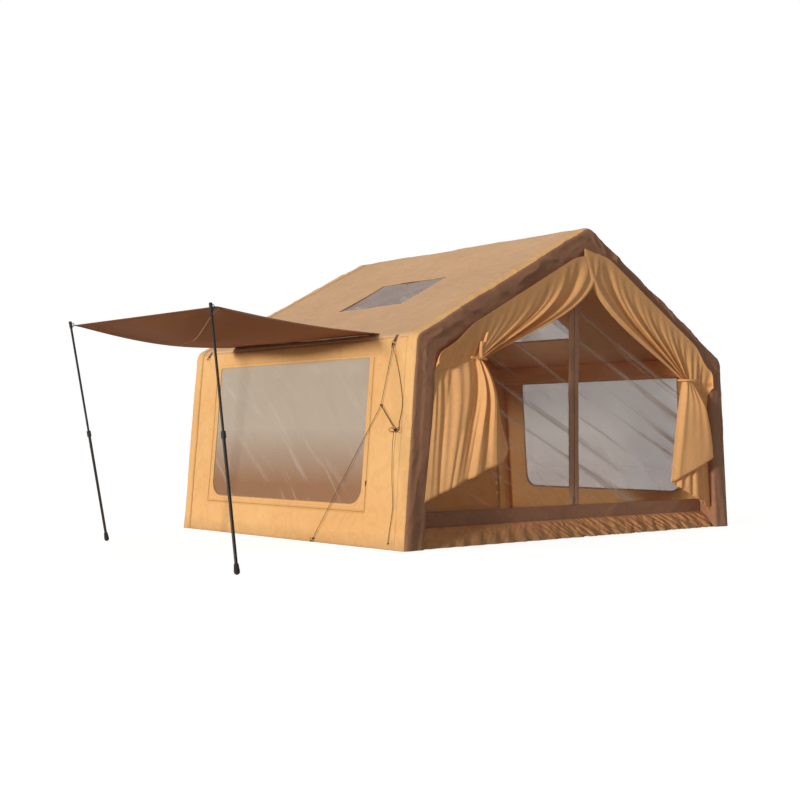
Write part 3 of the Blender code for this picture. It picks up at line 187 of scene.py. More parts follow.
class Nodes:
    """A short way to write a material's node tree."""

    def __init__(self, name):
        self.material = bpy.data.materials.new(name + "_look")
        self.material.use_nodes = True
        self.tree = self.material.node_tree
        self.shader = self.tree.nodes["Principled BSDF"]
        self.output = self.tree.nodes["Material Output"]

    def add(self, kind, **values):
        node = self.tree.nodes.new(kind)
        for key, value in values.items():
            if key.startswith("in_"):
                name = key[3:]
                name = int(name) if name.isdigit() else name.replace("_", " ")
                if isinstance(value, bpy.types.NodeSocket):
                    self.tree.links.new(value, node.inputs[name])
                else:
                    node.inputs[name].default_value = value
            else:
                setattr(node, key, value)
        return node

    def coords(self):
        return self.add("ShaderNodeTexCoord").outputs["Object"]

    def height(self, coords):
        return self.add("ShaderNodeSeparateXYZ", in_Vector=coords).outputs["Z"]

    def math(self, operation, a, b, c=0.0):
        return self.add("ShaderNodeMath", operation=operation, in_0=a, in_1=b, in_2=c).outputs[0]

    def dot(self, coords, direction):
        node = self.add("ShaderNodeVectorMath", operation="DOT_PRODUCT", in_0=coords, in_1=direction)
        return node.outputs["Value"]

    def noise(self, coords, scale, detail, rough=0.5, distortion=0.0):
        return self.add("ShaderNodeTexNoise", in_Vector=coords, in_Scale=scale, in_Detail=detail,
                        in_Roughness=rough, in_Distortion=distortion).outputs["Fac"]

    def wave(self, coords, direction, scale, **values):
        return self.add("ShaderNodeTexWave", in_Vector=coords, in_Scale=scale, bands_direction=direction,
                        **values).outputs["Fac"]

    def remap(self, value, low, high, low_out=0.0, high_out=1.0):
        return self.add("ShaderNodeMapRange", in_0=value, in_1=low, in_2=high, in_3=low_out,
                        in_4=high_out).outputs[0]

    def ramp(self, value, stops):
        node = self.add("ShaderNodeValToRGB", in_Fac=value)
        for element, (position, colour) in zip(node.color_ramp.elements, stops):
            element.position = position
            element.color = colour
        return node.outputs["Color"]

    def mix(self, share, first, second):
        return self.add("ShaderNodeMix", data_type="RGBA", in_0=share, in_6=first, in_7=second).outputs[2]

    def bump(self, strength, distance, height, **values):
        return self.add("ShaderNodeBump", in_Strength=strength, in_Distance=distance, in_Height=height,
                        **values).outputs["Normal"]

    def show(self, shader):
        self.tree.links.new(shader.outputs[0], self.output.inputs["Surface"])

    def set(self, **values):
        for key, value in values.items():
            socket = self.shader.inputs[key.replace("_", " ")]
            if isinstance(value, bpy.types.NodeSocket):
                self.tree.links.new(value, socket)
            else:
                socket.default_value = value


def srgb(r, g, b):
    def linear(c):
        c /= 255.0
        return c / 12.92 if c <= 0.04045 else ((c + 0.055) / 1.055) ** 2.4
    return (linear(r), linear(g), linear(b), 1.0)


def scaled(colour, factors):
    return [c * k for c, k in zip(colour, factors)] + [1.0]


DUST = srgb(176, 140, 98)
DUST_LOW, DUST_HIGH, DUST_SHARE = 0.04, 0.16, 0.45
# Darker tint for the lines along the creases: painted shade
CREASE_SHADE_TINT = (0.62, 0.52, 0.42)


def cloth_material(name, colour, dark, weave=0.0016, bump=0.35, wrinkle=0.5, sheen=0.08, glow=0.12):
    """Plain woven cloth: thread bump, small creases with a darker line of painted shade along them,
    slow changes of colour and dust low down. Glow is the share of light that comes through it."""
    n = Nodes(name)
    coords = n.coords()
    colour, dark = srgb(*colour), srgb(*dark)
    fine = n.noise(coords, 14.0, 6.0, 0.65)
    tint = n.ramp(n.math("MULTIPLY_ADD", fine, 0.45, n.noise(coords, 1.3, 3.0)), ((0.45, dark), (0.95, colour)))
    dust = n.remap(n.math("MULTIPLY_ADD", fine, 0.10, n.height(coords)), DUST_HIGH, DUST_LOW, 0.0, DUST_SHARE)
    # Darker lines along a noise of creases: painted shade in the folds
    fold = n.math("ABSOLUTE", n.math("SUBTRACT", n.noise(coords, 3.4, 4.0, 0.55, 1.2), 0.5), 0.0)
    crease_shade = n.remap(fold, 0.0, 0.035, 0.30 * wrinkle, 0.0)
    tint = n.mix(crease_shade, n.mix(dust, tint, DUST), scaled(dark, CREASE_SHADE_TINT))
    x, y, z = [n.wave(coords, axis, 0.5 / weave / math.pi, in_Distortion=0.4, in_Detail=1.0) for axis in "XYZ"]
    threads = n.bump(bump, weave * 0.3, n.math("ADD", n.math("ADD", x, y), z))
    creases = n.bump(wrinkle, 0.012, n.noise(coords, 9.0, 5.0, 0.55, 0.8), in_Normal=threads)
    n.set(Base_Color=tint, Roughness=0.85, Normal=creases, Sheen_Weight=sheen, Sheen_Roughness=0.5)
    through = n.add("ShaderNodeBsdfTranslucent", in_Color=tint)
    n.show(n.add("ShaderNodeMixShader", in_0=glow, in_1=n.shader.outputs[0], in_2=through.outputs[0]))
    return n.material


def film_material(name, colour, ground_reflection_colour, highlight_colour, alpha, streaks, along, across, long_scale, fine_scale):
    """Soft clear film: haze, a painted reflection of the ground that turns it brownish towards its foot,
    and crisp streaks along one direction of its plane: a bump of strain creases, with lighter, more opaque lines on
    them that are painted highlights."""
    n = Nodes(name)
    coords = n.coords()
    u = n.math("MULTIPLY", n.dot(coords, along), long_scale)
    v = n.math("MULTIPLY_ADD", n.dot(coords, across), fine_scale,
               n.math("MULTIPLY", n.noise(coords, 0.9, 1.0), 0.4))
    streak = n.noise(n.add("ShaderNodeCombineXYZ", in_0=u, in_1=v).outputs[0], 1.0, 2.5, 0.55)
    # Lighter, more opaque lines on the strain creases: painted highlights
    highlight_lines = n.remap(streak, 0.57, 0.66)
    haze = n.math("MULTIPLY_ADD", n.noise(coords, 2.1, 3.0), 0.10, alpha - 0.05)
    # Brownish towards the foot: a painted reflection of the ground
    plain = n.mix(n.remap(n.height(coords), 0.42, 0.85), srgb(*ground_reflection_colour), srgb(*colour))
    tint = n.mix(n.math("MULTIPLY", highlight_lines, 0.45), plain, srgb(*highlight_colour))
    n.set(Base_Color=tint, Roughness=0.14, Alpha=n.math("MULTIPLY_ADD", highlight_lines, streaks, haze),
          Normal=n.bump(0.5, 0.015, streak), Specular_IOR_Level=0.6)
    return n.material


def plain_material(name, colour, rough, metallic=0.0, grain=60.0, depth=0.0004):
    """Moulded plastic, rubber or painted metal with a fine grain and slight changes of gloss."""
    n = Nodes(name)
    coords = n.coords()
    colour = srgb(*colour)
    speckle = n.noise(coords, grain, 5.0)
    tint = n.ramp(n.noise(coords, grain / 8, 3.0), ((0.35, scaled(colour, (0.8, 0.8, 0.8))), (0.75, colour)))
    n.set(Base_Color=tint, Roughness=n.remap(speckle, 0.3, 0.7, rough - 0.12, rough + 0.12),
          Metallic=metallic, Normal=n.bump(0.3, depth, speckle))
    return n.material


def cord_material(name, colour, dark, scale=140.0):
    """Braided cord, or the teeth of a coil zip: slanting strands."""
    n = Nodes(name)
    strands = n.wave(n.coords(), "DIAGONAL", scale, in_Distortion=2.0)
    tint = n.ramp(strands, ((0.0, srgb(*dark)), (1.0, srgb(*colour))))
    n.set(Base_Color=tint, Roughness=0.8, Normal=n.bump(0.6, 0.0008, strands))
    return n.material


M_SHELL = cloth_material("shell_cloth", (255, 204, 136), (246, 188, 120), wrinkle=0.45)
M_ROOF = cloth_material("roof_cloth", (246, 200, 154), (234, 188, 140))
# Border cloth: the shell's sand cloth darkened, painted shade for the gable's front faces and the sill
M_BORDER_PAINTED_SHADE = cloth_material("border_painted_shade", (182, 130, 98), (160, 112, 82))
M_INSIDE = cloth_material("inner_cloth", (255, 200, 128), (240, 180, 108), wrinkle=0.3, glow=0.30)
M_CURTAIN = cloth_material("curtain_cloth", (255, 200, 134), (242, 184, 118), wrinkle=0.35, glow=0.20)
M_SKIRT = cloth_material("skirt_cloth", (240, 172, 112), (200, 138, 86), wrinkle=0.6)
M_AWNING = cloth_material("awning_cloth", (150, 86, 26), (136, 74, 20), wrinkle=0.2, sheen=0.0, glow=0.08)
M_HEM = cloth_material("awning_hem", (204, 160, 122), (176, 134, 98), wrinkle=0.2)
# Trim cloth: the sand cloth darkened, painted shade for the door's centre strips
M_TRIM_PAINTED_SHADE = cloth_material("trim_cloth", (206, 156, 124), (178, 132, 102), wrinkle=0.6)
M_SEAM = cloth_material("seam", (214, 158, 94), (180, 126, 70), wrinkle=0.2)
M_TAPE = cloth_material("zip_tape", (246, 192, 122), (230, 174, 104), wrinkle=0.2)
M_WEBBING = cloth_material("webbing", (150, 108, 68), (112, 78, 48), weave=0.003, bump=0.7)
M_STITCH = cord_material("stitch", (150, 100, 56), (110, 70, 38), 400.0)
# In the side and door films the low colour is a painted reflection of the ground; the streak colours paint
# highlights on the creases
M_FILM = film_material("window_film", (224, 212, 194), (188, 142, 106), (223, 211, 195), 0.50, 0.03,
                       (0.0, 0.70, 0.72), (0.0, 0.72, -0.70), 0.8, 12.0)
M_ROOF_FILM = film_material("roof_film", (222, 204, 194), (222, 204, 194), (236, 228, 226), 0.50, 0.12,
                            (0.3, 0.9, 0.3), (0.6, -0.5, 0.6), 1.4, 7.0)
M_DOOR_FILM = film_material("door_film", (206, 186, 164), (206, 172, 138), (214, 196, 186), 0.05, 0.34,
                            (0.915, 0.0, -0.403), (0.403, 0.0, 0.915), 0.26, 8.5)
M_POLE = plain_material("pole_tube", (52, 46, 42), 0.42, metallic=0.5)
M_FITTING = plain_material("pole_fitting", (38, 34, 32), 0.55)
M_RUBBER = plain_material("pole_rubber", (34, 32, 30), 0.8, grain=120.0)
M_METAL = plain_material("metal", (120, 112, 100), 0.38, metallic=0.9, grain=200.0, depth=0.0001)
M_ZIP = cord_material("zip", (176, 124, 72), (120, 80, 44), 220.0)
M_ROPE = cord_material("rope", (104, 64, 38), (58, 34, 20))
M_VALVE = plain_material("valve", (40, 40, 42), 0.5)

# Pieces


def show(name, data):
    """Links a mesh, a lamp or a camera to the scene, under one name."""
    data.name = name
    shown = bpy.data.objects.new(name, data)
    bpy.context.scene.collection.objects.link(shown)
    return shown


def finish_piece(name, mesh, materials, slot, node=None, body="tent", thickness=0.0, offset=-1.0):
    """Shows a mesh as a piece on a body, in place of one of the frame's nodes if it has one."""
    piece = show(name, mesh)
    for material in materials if isinstance(materials, list) else [materials]:
        mesh.materials.append(material)
    mesh.shade_smooth()
    if thickness:
        solidify = piece.modifiers.new("thickness", "SOLIDIFY")
        solidify.thickness = thickness
        solidify.offset = offset
        solidify.use_even_offset = False
    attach(piece, body)
    if node:
        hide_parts(node)
    return piece


def sheet_piece(name, mesh, facing, materials, slot, flat, held, rests_on, **more):
    """A sheet, turned to face a direction and shown as a piece; its own area and its cut's area are worked out.
    A sheet, declared by the size it was cut to; its shape's own area is the cut's.
    """
    if facing:
        face_out(mesh, facing)
    piece = finish_piece(name, mesh, materials, slot, **more)
    area, cut = sum(face.area for face in mesh.polygons), flat[0] * flat[1]
    clamp(area, 0.31 * cut, cut)


def new_mesh(points, faces):
    mesh = bpy.data.meshes.new("piece")
    mesh.from_pydata(points, [], faces)
    return mesh


def tidy(mesh):
    work = bmesh.new()
    work.from_mesh(mesh)
    bmesh.ops.delete(work, geom=[v for v in work.verts if not v.link_faces], context="VERTS")
    bmesh.ops.remove_doubles(work, verts=work.verts, dist=1e-6)
    bmesh.ops.recalc_face_normals(work, faces=work.faces)
    work.to_mesh(mesh)
    work.free()


def face_out(mesh, toward):
    """Turns the whole sheet over if its faces look away from the given direction."""
    total = sum((f.normal * f.area for f in mesh.polygons), Vector())
    if total.dot(toward) < 0.0:
        mesh.flip_normals()


def joined(*meshes):
    work = bmesh.new()
    for mesh in meshes:
        work.from_mesh(mesh)
    result = new_mesh([], [])
    work.to_mesh(result)
    work.free()
    return result


def inside(point, loop):
    x, y = point
    hit = False
    for (x1, y1), (x2, y2) in zip(loop, loop[1:] + loop[:1]):
        if (y1 > y) != (y2 > y) and x < (x2 - x1) * (y - y1) / (y2 - y1) + x1:
            hit = not hit
    return hit


def resample(points, spacing, closed=True):
    """Points along a line of straights, evenly spaced on each of them."""
    line = []
    for (x1, y1), (x2, y2) in zip(points, points[1:] + (points[:1] if closed else [])):
        count = max(1, round(math.hypot(x2 - x1, y2 - y1) / spacing))
        line += [(x1 + (x2 - x1) * i / count, y1 + (y2 - y1) * i / count) for i in range(count)]
    return line if closed else line + points[-1:]


def distance_to(point, loop):
    best = math.inf
    x, y = point
    for (x1, y1), (x2, y2) in zip(loop, loop[1:] + loop[:1]):
        dx, dy = x2 - x1, y2 - y1
        t = clamp(((x - x1) * dx + (y - y1) * dy) / max(1e-12, dx * dx + dy * dy))
        best = min(best, math.hypot(x1 + t * dx - x, y1 + t * dy - y))
    return best


def sheet_mesh(boundary, holes, spacing, place, fine_below=-math.inf):
    """A sheet with holes, evenly meshed in flat coordinates, finer where x is below a limit."""
    loops = [boundary] + list(holes)
    points, edges = [], []
    for loop in loops:
        base = len(points)
        points += resample(loop, spacing / 2 if fine_below > -math.inf else spacing)
        edges += [(i, i + 1) for i in range(base, len(points) - 1)] + [(len(points) - 1, base)]
    xs, ys = [p[0] for p in boundary], [p[1] for p in boundary]
    low_x, high_x, low_y, high_y = min(xs), max(xs), min(ys), max(ys)

    def on_sheet(point):
        return inside(point, boundary) and not any(inside(point, hole) for hole in holes)

    for step in (spacing, spacing / 2):
        rows = max(1, round((high_y - low_y) / (step * 0.87)))
        columns = max(1, round((high_x - low_x) / step))
        for r in range(1, rows):
            y = low_y + (high_y - low_y) * r / rows
            for c in range(columns + 1):
                x = low_x + (high_x - low_x) * (c + 0.5 * (r % 2)) / columns
                if (x < fine_below) == (step < spacing) and on_sheet((x, y)):
                    if min(distance_to((x, y), loop) for loop in loops) > 0.45 * step:
                        points.append((x, y))
    result = geometry.delaunay_2d_cdt([Vector(p) for p in points], edges, [], 0, 1e-6)
    flat, faces = result[0], result[2]
    kept = [tuple(face) for face in faces
            if on_sheet(sum((flat[i] for i in face), Vector((0.0, 0.0))) / len(face))]
    mesh = new_mesh([place(p.x, p.y) for p in flat], kept)
    tidy(mesh)
    return mesh


def grid_mesh(rows, closed=False, capped=False):
    """A mesh over rows of points, all of one length. Closed joins the two ends of each row."""
    width = len(rows[0])
    faces = []
    for i in range(len(rows) - 1):
        for j in range(width if closed else width - 1):
            k = (j + 1) % width
            faces.append((i * width + j, i * width + k, (i + 1) * width + k, (i + 1) * width + j))
    points = [p for row in rows for p in row]
    if capped:
        last = len(points) - 1
        faces += [tuple(range(width)), tuple(range(last, last - width, -1))]
    return new_mesh(points, faces)


def field_mesh(rows, columns, place):
    """A grid whose points are given by a function of two shares."""
    return grid_mesh([[place(row, column) for column in shares(columns)] for row in shares(rows)])


def tube_mesh(path, radius, sides=10, flat=1.0, lie=None, closed=False):
    """A tube along a path; flat stretches it across the direction given by lie."""
    rings = []
    side = None
    count = len(path)
    for i in range(count):
        before = path[i - 1] if i or closed else path[0]
        after = path[(i + 1) % count] if i < count - 1 or closed else path[-1]
        ahead = (after - before).normalized()
        if lie is not None:
            side = lie
        elif side is None:
            side = ahead.orthogonal()
        side = (side - ahead * side.dot(ahead)).normalized()
        other = ahead.cross(side)
        rings.append([path[i] + side * (radius * flat * math.cos(a)) + other * (radius * math.sin(a))
                      for a in (2.0 * math.pi * k / sides for k in range(sides))])
    if closed:
        rings.append(rings[0])
    mesh = grid_mesh(rings, True, not closed)
    tidy(mesh)
    return mesh


def rounded(low, high, bottom, top, bottom_radius, top_radius, steps=6):
    """A loop with four rounded corners."""
    corners = ((low + bottom_radius, bottom + bottom_radius, bottom_radius, math.pi),
               (high - bottom_radius, bottom + bottom_radius, bottom_radius, 1.5 * math.pi),
               (high - top_radius, top - top_radius, top_radius, 0.0),
               (low + top_radius, top - top_radius, top_radius, 0.5 * math.pi))
    return [(x + radius * math.cos(start + 0.5 * math.pi * i / steps),
             y + radius * math.sin(start + 0.5 * math.pi * i / steps))
            for x, y, radius, start in corners for i in range(steps + 1)]


def smooth_route(points, steps):
    """A Catmull-Rom curve through the points."""
    ends = [points[0] * 2 - points[1]] + points + [points[-1] * 2 - points[-2]]
    route = []
    for a, b, c, d in zip(ends, ends[1:], ends[2:], ends[3:]):
        for t in shares(steps)[:-1]:
            route.append(0.5 * (2 * b + (c - a) * t + (2 * a - 5 * b + 4 * c - d) * t * t
                                + (3 * b - a - 3 * c + d) * t * t * t))
    return route + [points[-1]]


# Stitches: (length, gap, width)
LONG_STITCH, HEM_STITCH, SMALL_STITCH = (0.008, 0.005, 0.0014), (0.009, 0.006, 0.0014), (0.004, 0.002, 0.0011)
STITCH_RISE = 0.0006


def stitch_mesh(path, normal, stitch):
    """A row of stitches along a path of points, standing just off a surface."""
    length, gap, width = stitch
    points, faces = [], []
    done = 0.0
    for a, b in zip(path, path[1:]):
        span = (b - a).length
        while done < span:
            start, done = a.lerp(b, done / span), done + length
            end = b if done > span else a.lerp(b, done / span)
            side = (b - a).cross(normal).normalized() * width / 2
            middle, crest = (start + end) / 2 + normal * STITCH_RISE, side * 0.6
            base = len(points)
            points += [start - side, start + side, end + side, end - side, middle - crest, middle + crest]
            faces += [(base, base + 1, base + 5, base + 4), (base + 4, base + 5, base + 2, base + 3)]
            done += gap
        done -= span
    return new_mesh(points, faces)


# How the shell's cloth lies, as a height above the frame's own surface

ROOF_SINK, WALL_SINK = 0.022, 0.010
ARCH_REACH, SLIDER_REACH = 0.16, 0.15
MOST_RISE, MOST_ARCH_RISE = 0.0035, 0.014


def skin(mirror, y, s):
    """One field for wall, roof and sleeve side, so that the cloth runs on from one to the next."""
    t = mirror * (S_RIDGE - s)
    roof = smooth((s - S_SEAM + 0.04) / 0.08)
    across = clamp((y - FRONT_ARCH) / (REAR_ARCH - FRONT_ARCH))
    up = clamp((s - S_SEAM) / (S_RIDGE - S_SEAM)) if roof > 0.5 else clamp(s / S_SEAM)
    near = max(0.0, min(y - FRONT_FACE, -FRONT_FACE - y))
    hold = math.exp(-near / ARCH_REACH)
    free = 1.0 - hold
    # Slow sinking and soft creases of the open cloth
    lie = -(ROOF_SINK * roof + WALL_SINK * (1.0 - roof)) * math.sin(math.pi * across) * math.sin(math.pi * up)
    lie += (0.006 * soft(y * 1.7, t * 1.3, 9.0) + 0.003 * soft(y * 5.0, t * 4.0, 11.0)) * free
    lie += 0.004 * ridged(y * 2.1 + t * 1.1, t * 0.8 - y * 0.5, 5.0, 6.0) * roof * free
    # Crinkles and gathers beside the arches
    crinkle = ridged((s * 0.8 - near * 0.6) * 8.0, (s * 0.5 + near * 0.8) * 3.0, 3.1 * mirror, 3.0)
    gather = soft(s * 5.0, near * 9.0, 7.7 * mirror)
    lie += (0.007 * crinkle + 0.008 * gather) * hold * (0.3 + 0.7 * roof)
    lie += 0.012 * soft(s * 2.1, near * 2.0, 13.0 + mirror) * hold
    # Waves at the hem, drag lines at the eave, long creases of the wall
    low = smooth((0.34 - s) / 0.34)
    lie += 0.008 * soft(y * 6.5, 0.5, 31.0 + mirror) * low
    eave = math.exp(-((s - S_SEAM) / 0.10) ** 2)
    lie += 0.004 * ridged(y * 7.0, s * 3.0, 17.0 + mirror, 2.0) * eave * free
    lie += 0.004 * ridged(y * 3.1 - s * 1.2, s * 0.9, 41.0 + mirror, 5.0) * (1.0 - roof) * (1.0 - low)
    # Calm along the way of the window's slider
    run = s - clamp(s, SLIDER_HEIGHT, SLIDER_HEIGHT + SLIDER_TRAVEL)
    lie *= smooth((math.hypot(y - WINDOW_NEAR + ZIP_MARGIN, run) - 0.02) / SLIDER_REACH)
    top = MOST_ARCH_RISE * hold * roof + MOST_RISE
    return min(lie, top) if near > SLEEVE_RADIUS * 1.6 else clamp(lie, -0.001, top)


def proud(mirror, s, y, out):
    """A point on the relief of the shell at a length s up its section, standing out by out."""
    point, _, normal = section(s)
    point = point - normal * (skin(mirror, y, s) + out)
    return at(mirror * point.x, y, point.y)


BAND_SHAPE = ((-0.5, 0.05), (-0.42, 0.9), (-0.15, 1.0), (0.15, 1.0), (0.42, 0.9), (0.5, 0.05))


def strip_on_shell(mirror, path, size, closed=False):
    """A flat band sewn on the shell along a path of (y, s) points."""
    width, height = size
    rows = []
    count = len(path)
    for i, (y, s) in enumerate(path):
        before = path[i - 1] if i or closed else path[0]
        after = path[(i + 1) % count] if i < count - 1 or closed else path[-1]
        dy, ds = after[0] - before[0], after[1] - before[1]
        length = math.hypot(dy, ds)
        ny, ns = -ds / length, dy / length
        rows.append([proud(mirror, s + ns * width * k, y + ny * width * k, height * up) for k, up in BAND_SHAPE])
    if closed:
        rows.append(rows[0])
    mesh = grid_mesh(rows)
    face_out(mesh, Vector((mirror, 0.0, 0.4)))
    return mesh


# Sewn bands: (width, height over the cloth)
BINDING, ROOF_BINDING, SEAM_BAND = (0.026, 0.0022), (0.022, 0.0018), (0.014, 0.0014)
ZIP_TAPE, ZIP_COIL = (0.030, 0.0010), (0.0035, 0.0022)
BINDING_LINE, ROOF_BINDING_LINE, STITCH_LINES, STITCH_OFF = 0.012, 0.010, (0.0025, 0.0215), 0.0024
ROOF_CORNER, REAR_SEAM_IN, FRONT_SEAM_IN = 0.02, 0.02, 0.10


def window_loop(grow, corner=WINDOW_CORNER):
    return [(y, wall_s(z)) for y, z in rounded(WINDOW_NEAR - grow, WINDOW_FAR + grow, WINDOW_SILL - grow,
                                               WINDOW_HEAD + grow, corner, TOP_CORNER)]


def shell_sheet(mirror, low, high, hole, fine):
    """A wall or a roof slope from arch to arch, meshed finer up to a distance from the front one."""
    loop = [(FRONT_ARCH, low), (REAR_ARCH, low), (REAR_ARCH, high), (FRONT_ARCH, high)]
    return sheet_mesh(loop, [hole], SHEET_SPACING, lambda y, s: proud(mirror, max(s, FOOT_LIFT), y, 0.0),
                      FRONT_ARCH + fine)


def make_walls(side, mirror):
    sideways = Vector((mirror, 0.0, 0.0))
    on_wall_cloth = ["wall_cloth_" + side]
    sheet_piece("wall_cloth_" + side, shell_sheet(mirror, 0.0, S_SEAM, window_loop(0.0), WALL_FINE), sideways,
                M_SHELL, "shell_cloth", (REAR_ARCH - FRONT_ARCH, S_SEAM), "stretched",
                ["front_arch_beam", "rear_arch_beam", "eave_beam_" + side],
                node="side_wall_" + side, thickness=COVER)

    def film_place(y, s):
        edge = min(s - WINDOW_SILL, WINDOW_HEAD - s, y - WINDOW_NEAR, WINDOW_FAR - y)
        strain = 0.010 * ridged((y * 0.72 - s * 0.70) * 4.0, (y * 0.70 + s * 0.72) * 0.8, 61.0 + mirror, 3.0)
        strain += 0.012 * (0.5 + soft(y * 1.6 - s * 1.1, s * 1.0, 63.0 + mirror))
        return proud(mirror, s, y, -COVER - FILM - max(0.0, strain) * smooth(edge / 0.12))

    sheet_piece("window_film_" + side, sheet_mesh(window_loop(FILM_LAP), [], FILM_SPACING, film_place), sideways,
                M_FILM, "clear_film",
                (WINDOW_FAR - WINDOW_NEAR + 2 * FILM_LAP, WINDOW_HEAD - WINDOW_SILL + 2 * FILM_LAP),
                "stretched", on_wall_cloth, node="side_window_" + side, thickness=FILM)

    path = resample(window_loop(BINDING_LINE, WINDOW_CORNER + BINDING_LINE), BAND_STEP)
    sheet_piece("window_binding_" + side, strip_on_shell(mirror, path, BINDING, True), sideways, M_SHELL,
                "shell_cloth", (BINDING[0], 6.2), "stretched", on_wall_cloth)
    rows = []
    for grow in STITCH_LINES:
        line = resample(window_loop(grow, WINDOW_CORNER + grow), BAND_STEP)
        rows.append(stitch_mesh([proud(mirror, s, y, STITCH_OFF) for y, s in line],
                                Vector((mirror, 0.0, 0.08)).normalized(), LONG_STITCH))
    finish_piece("window_stitches_" + side, joined(*rows), M_STITCH, "shell_cloth")

    off = ZIP_MARGIN - ZIP_WIDTH / 2
    near, far, low, high = WINDOW_NEAR - off, WINDOW_FAR + off, wall_s(WINDOW_SILL - off), wall_s(WINDOW_HEAD)
    path = resample([(near, high), (near, low), (far, low), (far, high)], ZIP_STEP, False)
    tape, teeth = strip_on_shell(mirror, path, ZIP_TAPE), strip_on_shell(mirror, path, ZIP_COIL)
    teeth.polygons.foreach_set("material_index", [1] * len(teeth.polygons))
    finish_piece("window_zip_band_" + side, joined(tape, teeth), [M_TAPE, M_ZIP], "zip_tape", "window_zip_" + side)


def make_roof(side, mirror):
    along_roof, window_up = ROOF_WINDOWS[side]
    low = S_ROOF + window_up - ROOF_WINDOW_WIDTH / 2
    near = FRONT_FACE + along_roof - ROOF_WINDOW_LENGTH / 2
    on_roof_cloth = ["roof_cloth_" + side]

    def loop(grow):
        return rounded(near - grow, near + ROOF_WINDOW_LENGTH + grow, low - grow, low + ROOF_WINDOW_WIDTH + grow,
                       ROOF_CORNER, ROOF_CORNER, 3)

    def film_place(y, s):
        return proud(mirror, s, y, -COVER - FILM - 0.006 * ridged(y * 2.2 + s, s * 1.2, 71.0 + mirror, 3.0))

    sheet_piece("roof_cloth_" + side, shell_sheet(mirror, S_SEAM, S_RIDGE, loop(0.0), ROOF_FINE), UP, M_ROOF,
                "shell_cloth", (REAR_ARCH - FRONT_ARCH, S_RIDGE - S_SEAM), "stretched",
                ["ridge_beam", "eave_beam_" + side], node="roof_panel_" + side, thickness=COVER)
    sheet_piece("roof_film_" + side, sheet_mesh(loop(FILM_LAP), [], FILM_SPACING, film_place), UP, M_ROOF_FILM,
                "clear_film", (ROOF_WINDOW_LENGTH + 2 * FILM_LAP, ROOF_WINDOW_WIDTH + 2 * FILM_LAP), "stretched",
                on_roof_cloth, node="roof_window_" + side, thickness=FILM)
    path = resample(loop(ROOF_BINDING_LINE), BAND_STEP)
    sheet_piece("roof_binding_" + side, strip_on_shell(mirror, path, ROOF_BINDING, True), UP, M_ROOF,
                "shell_cloth", (ROOF_BINDING[0], 2.84), "stretched", on_roof_cloth)
    for end, y, material in (("rear", REAR_ARCH - REAR_SEAM_IN, M_SEAM),
                              ("front", FRONT_ARCH + FRONT_SEAM_IN, M_SHELL)):
        path = [(y, 0.01 + (S_RIDGE - 0.012) * share) for share in shares(BAND_STEPS)]
        sheet_piece("seam_band_%s_%s" % (end, side), strip_on_shell(mirror, path, SEAM_BAND),
                    Vector((mirror, 0.0, 1.0)), material, "shell_cloth", (SEAM_BAND[0], S_RIDGE), "stretched",
                    ["wall_cloth_" + side])


def arch_samples(steps):
    """(mirror, length up the section) pairs up an arch's right half and down its left."""
    samples = [(1.0, S_RIDGE * i / steps) for i in range(steps + 1)]
    return samples + [(-1.0, s) for _, s in samples[-2::-1]]


def sleeve_profile():
    """Columns round a sleeve, from its outer side over the front to its inner side:
    (across, depth), and how much of the side's and of the front's relief each of them takes."""
    flat = 1.0 - SLEEVE_CORNER
    turn = [(math.cos(a) * SLEEVE_CORNER, math.sin(a) * SLEEVE_CORNER)
            for a in (0.5 * math.pi * i / 6 for i in range(7))]
    spots = [(1.0, -flat * i / 7) for i in range(7)]
    spots += [(flat + c, -flat - s) for c, s in turn]
    spots += [(flat * (1.0 - 2.0 * i / 14), -1.0) for i in range(1, 14)]
    spots += [(-flat - s, -flat - c) for c, s in turn]
    spots += [(-1.0, -flat * (1.0 - i / 6)) for i in range(1, 7)]
    columns = []
    for k, (across, depth) in enumerate(spots):
        before, after = spots[max(0, k - 1)], spots[min(len(spots) - 1, k + 1)]
        run = Vector((after[0] - before[0], after[1] - before[1])).normalized()
        columns.append((across, depth, clamp(-run.y), clamp(-run.x)))
    return columns


def sleeve_face(seed, t, s, across):
    """Folds of the sleeve's front: long ones that follow the tube, and drag lines at the eave."""
    rafter = smooth((s - S_SEAM + 0.1) / 0.3)
    long_fold = 0.012 * soft(t * 1.1, across * 1.3, 91.0 + 5.0 * seed)
    slant = ridged((t * 0.5 + across * 0.10) * 7.0, (across * 0.5 - t) * 0.9, 81.0 + 7.0 * seed, 2.5)
    bend = math.exp(-((s - S_SEAM) / 0.16) ** 2) * ridged(s * 9.0 + across, across * 0.8, 95.0 + seed, 2.0)
    crown = 0.008 * math.cos(0.5 * math.pi * clamp(across, -1.0, 1.0))
    lift = clamp(crown + long_fold + 0.016 * slant * (0.4 + 0.6 * rafter) + 0.010 * bend - 0.006, -0.002, 0.024)
    return min(lift, 0.004 + 0.020 * smooth(across / 0.4))


SIDE_COLUMNS = 10


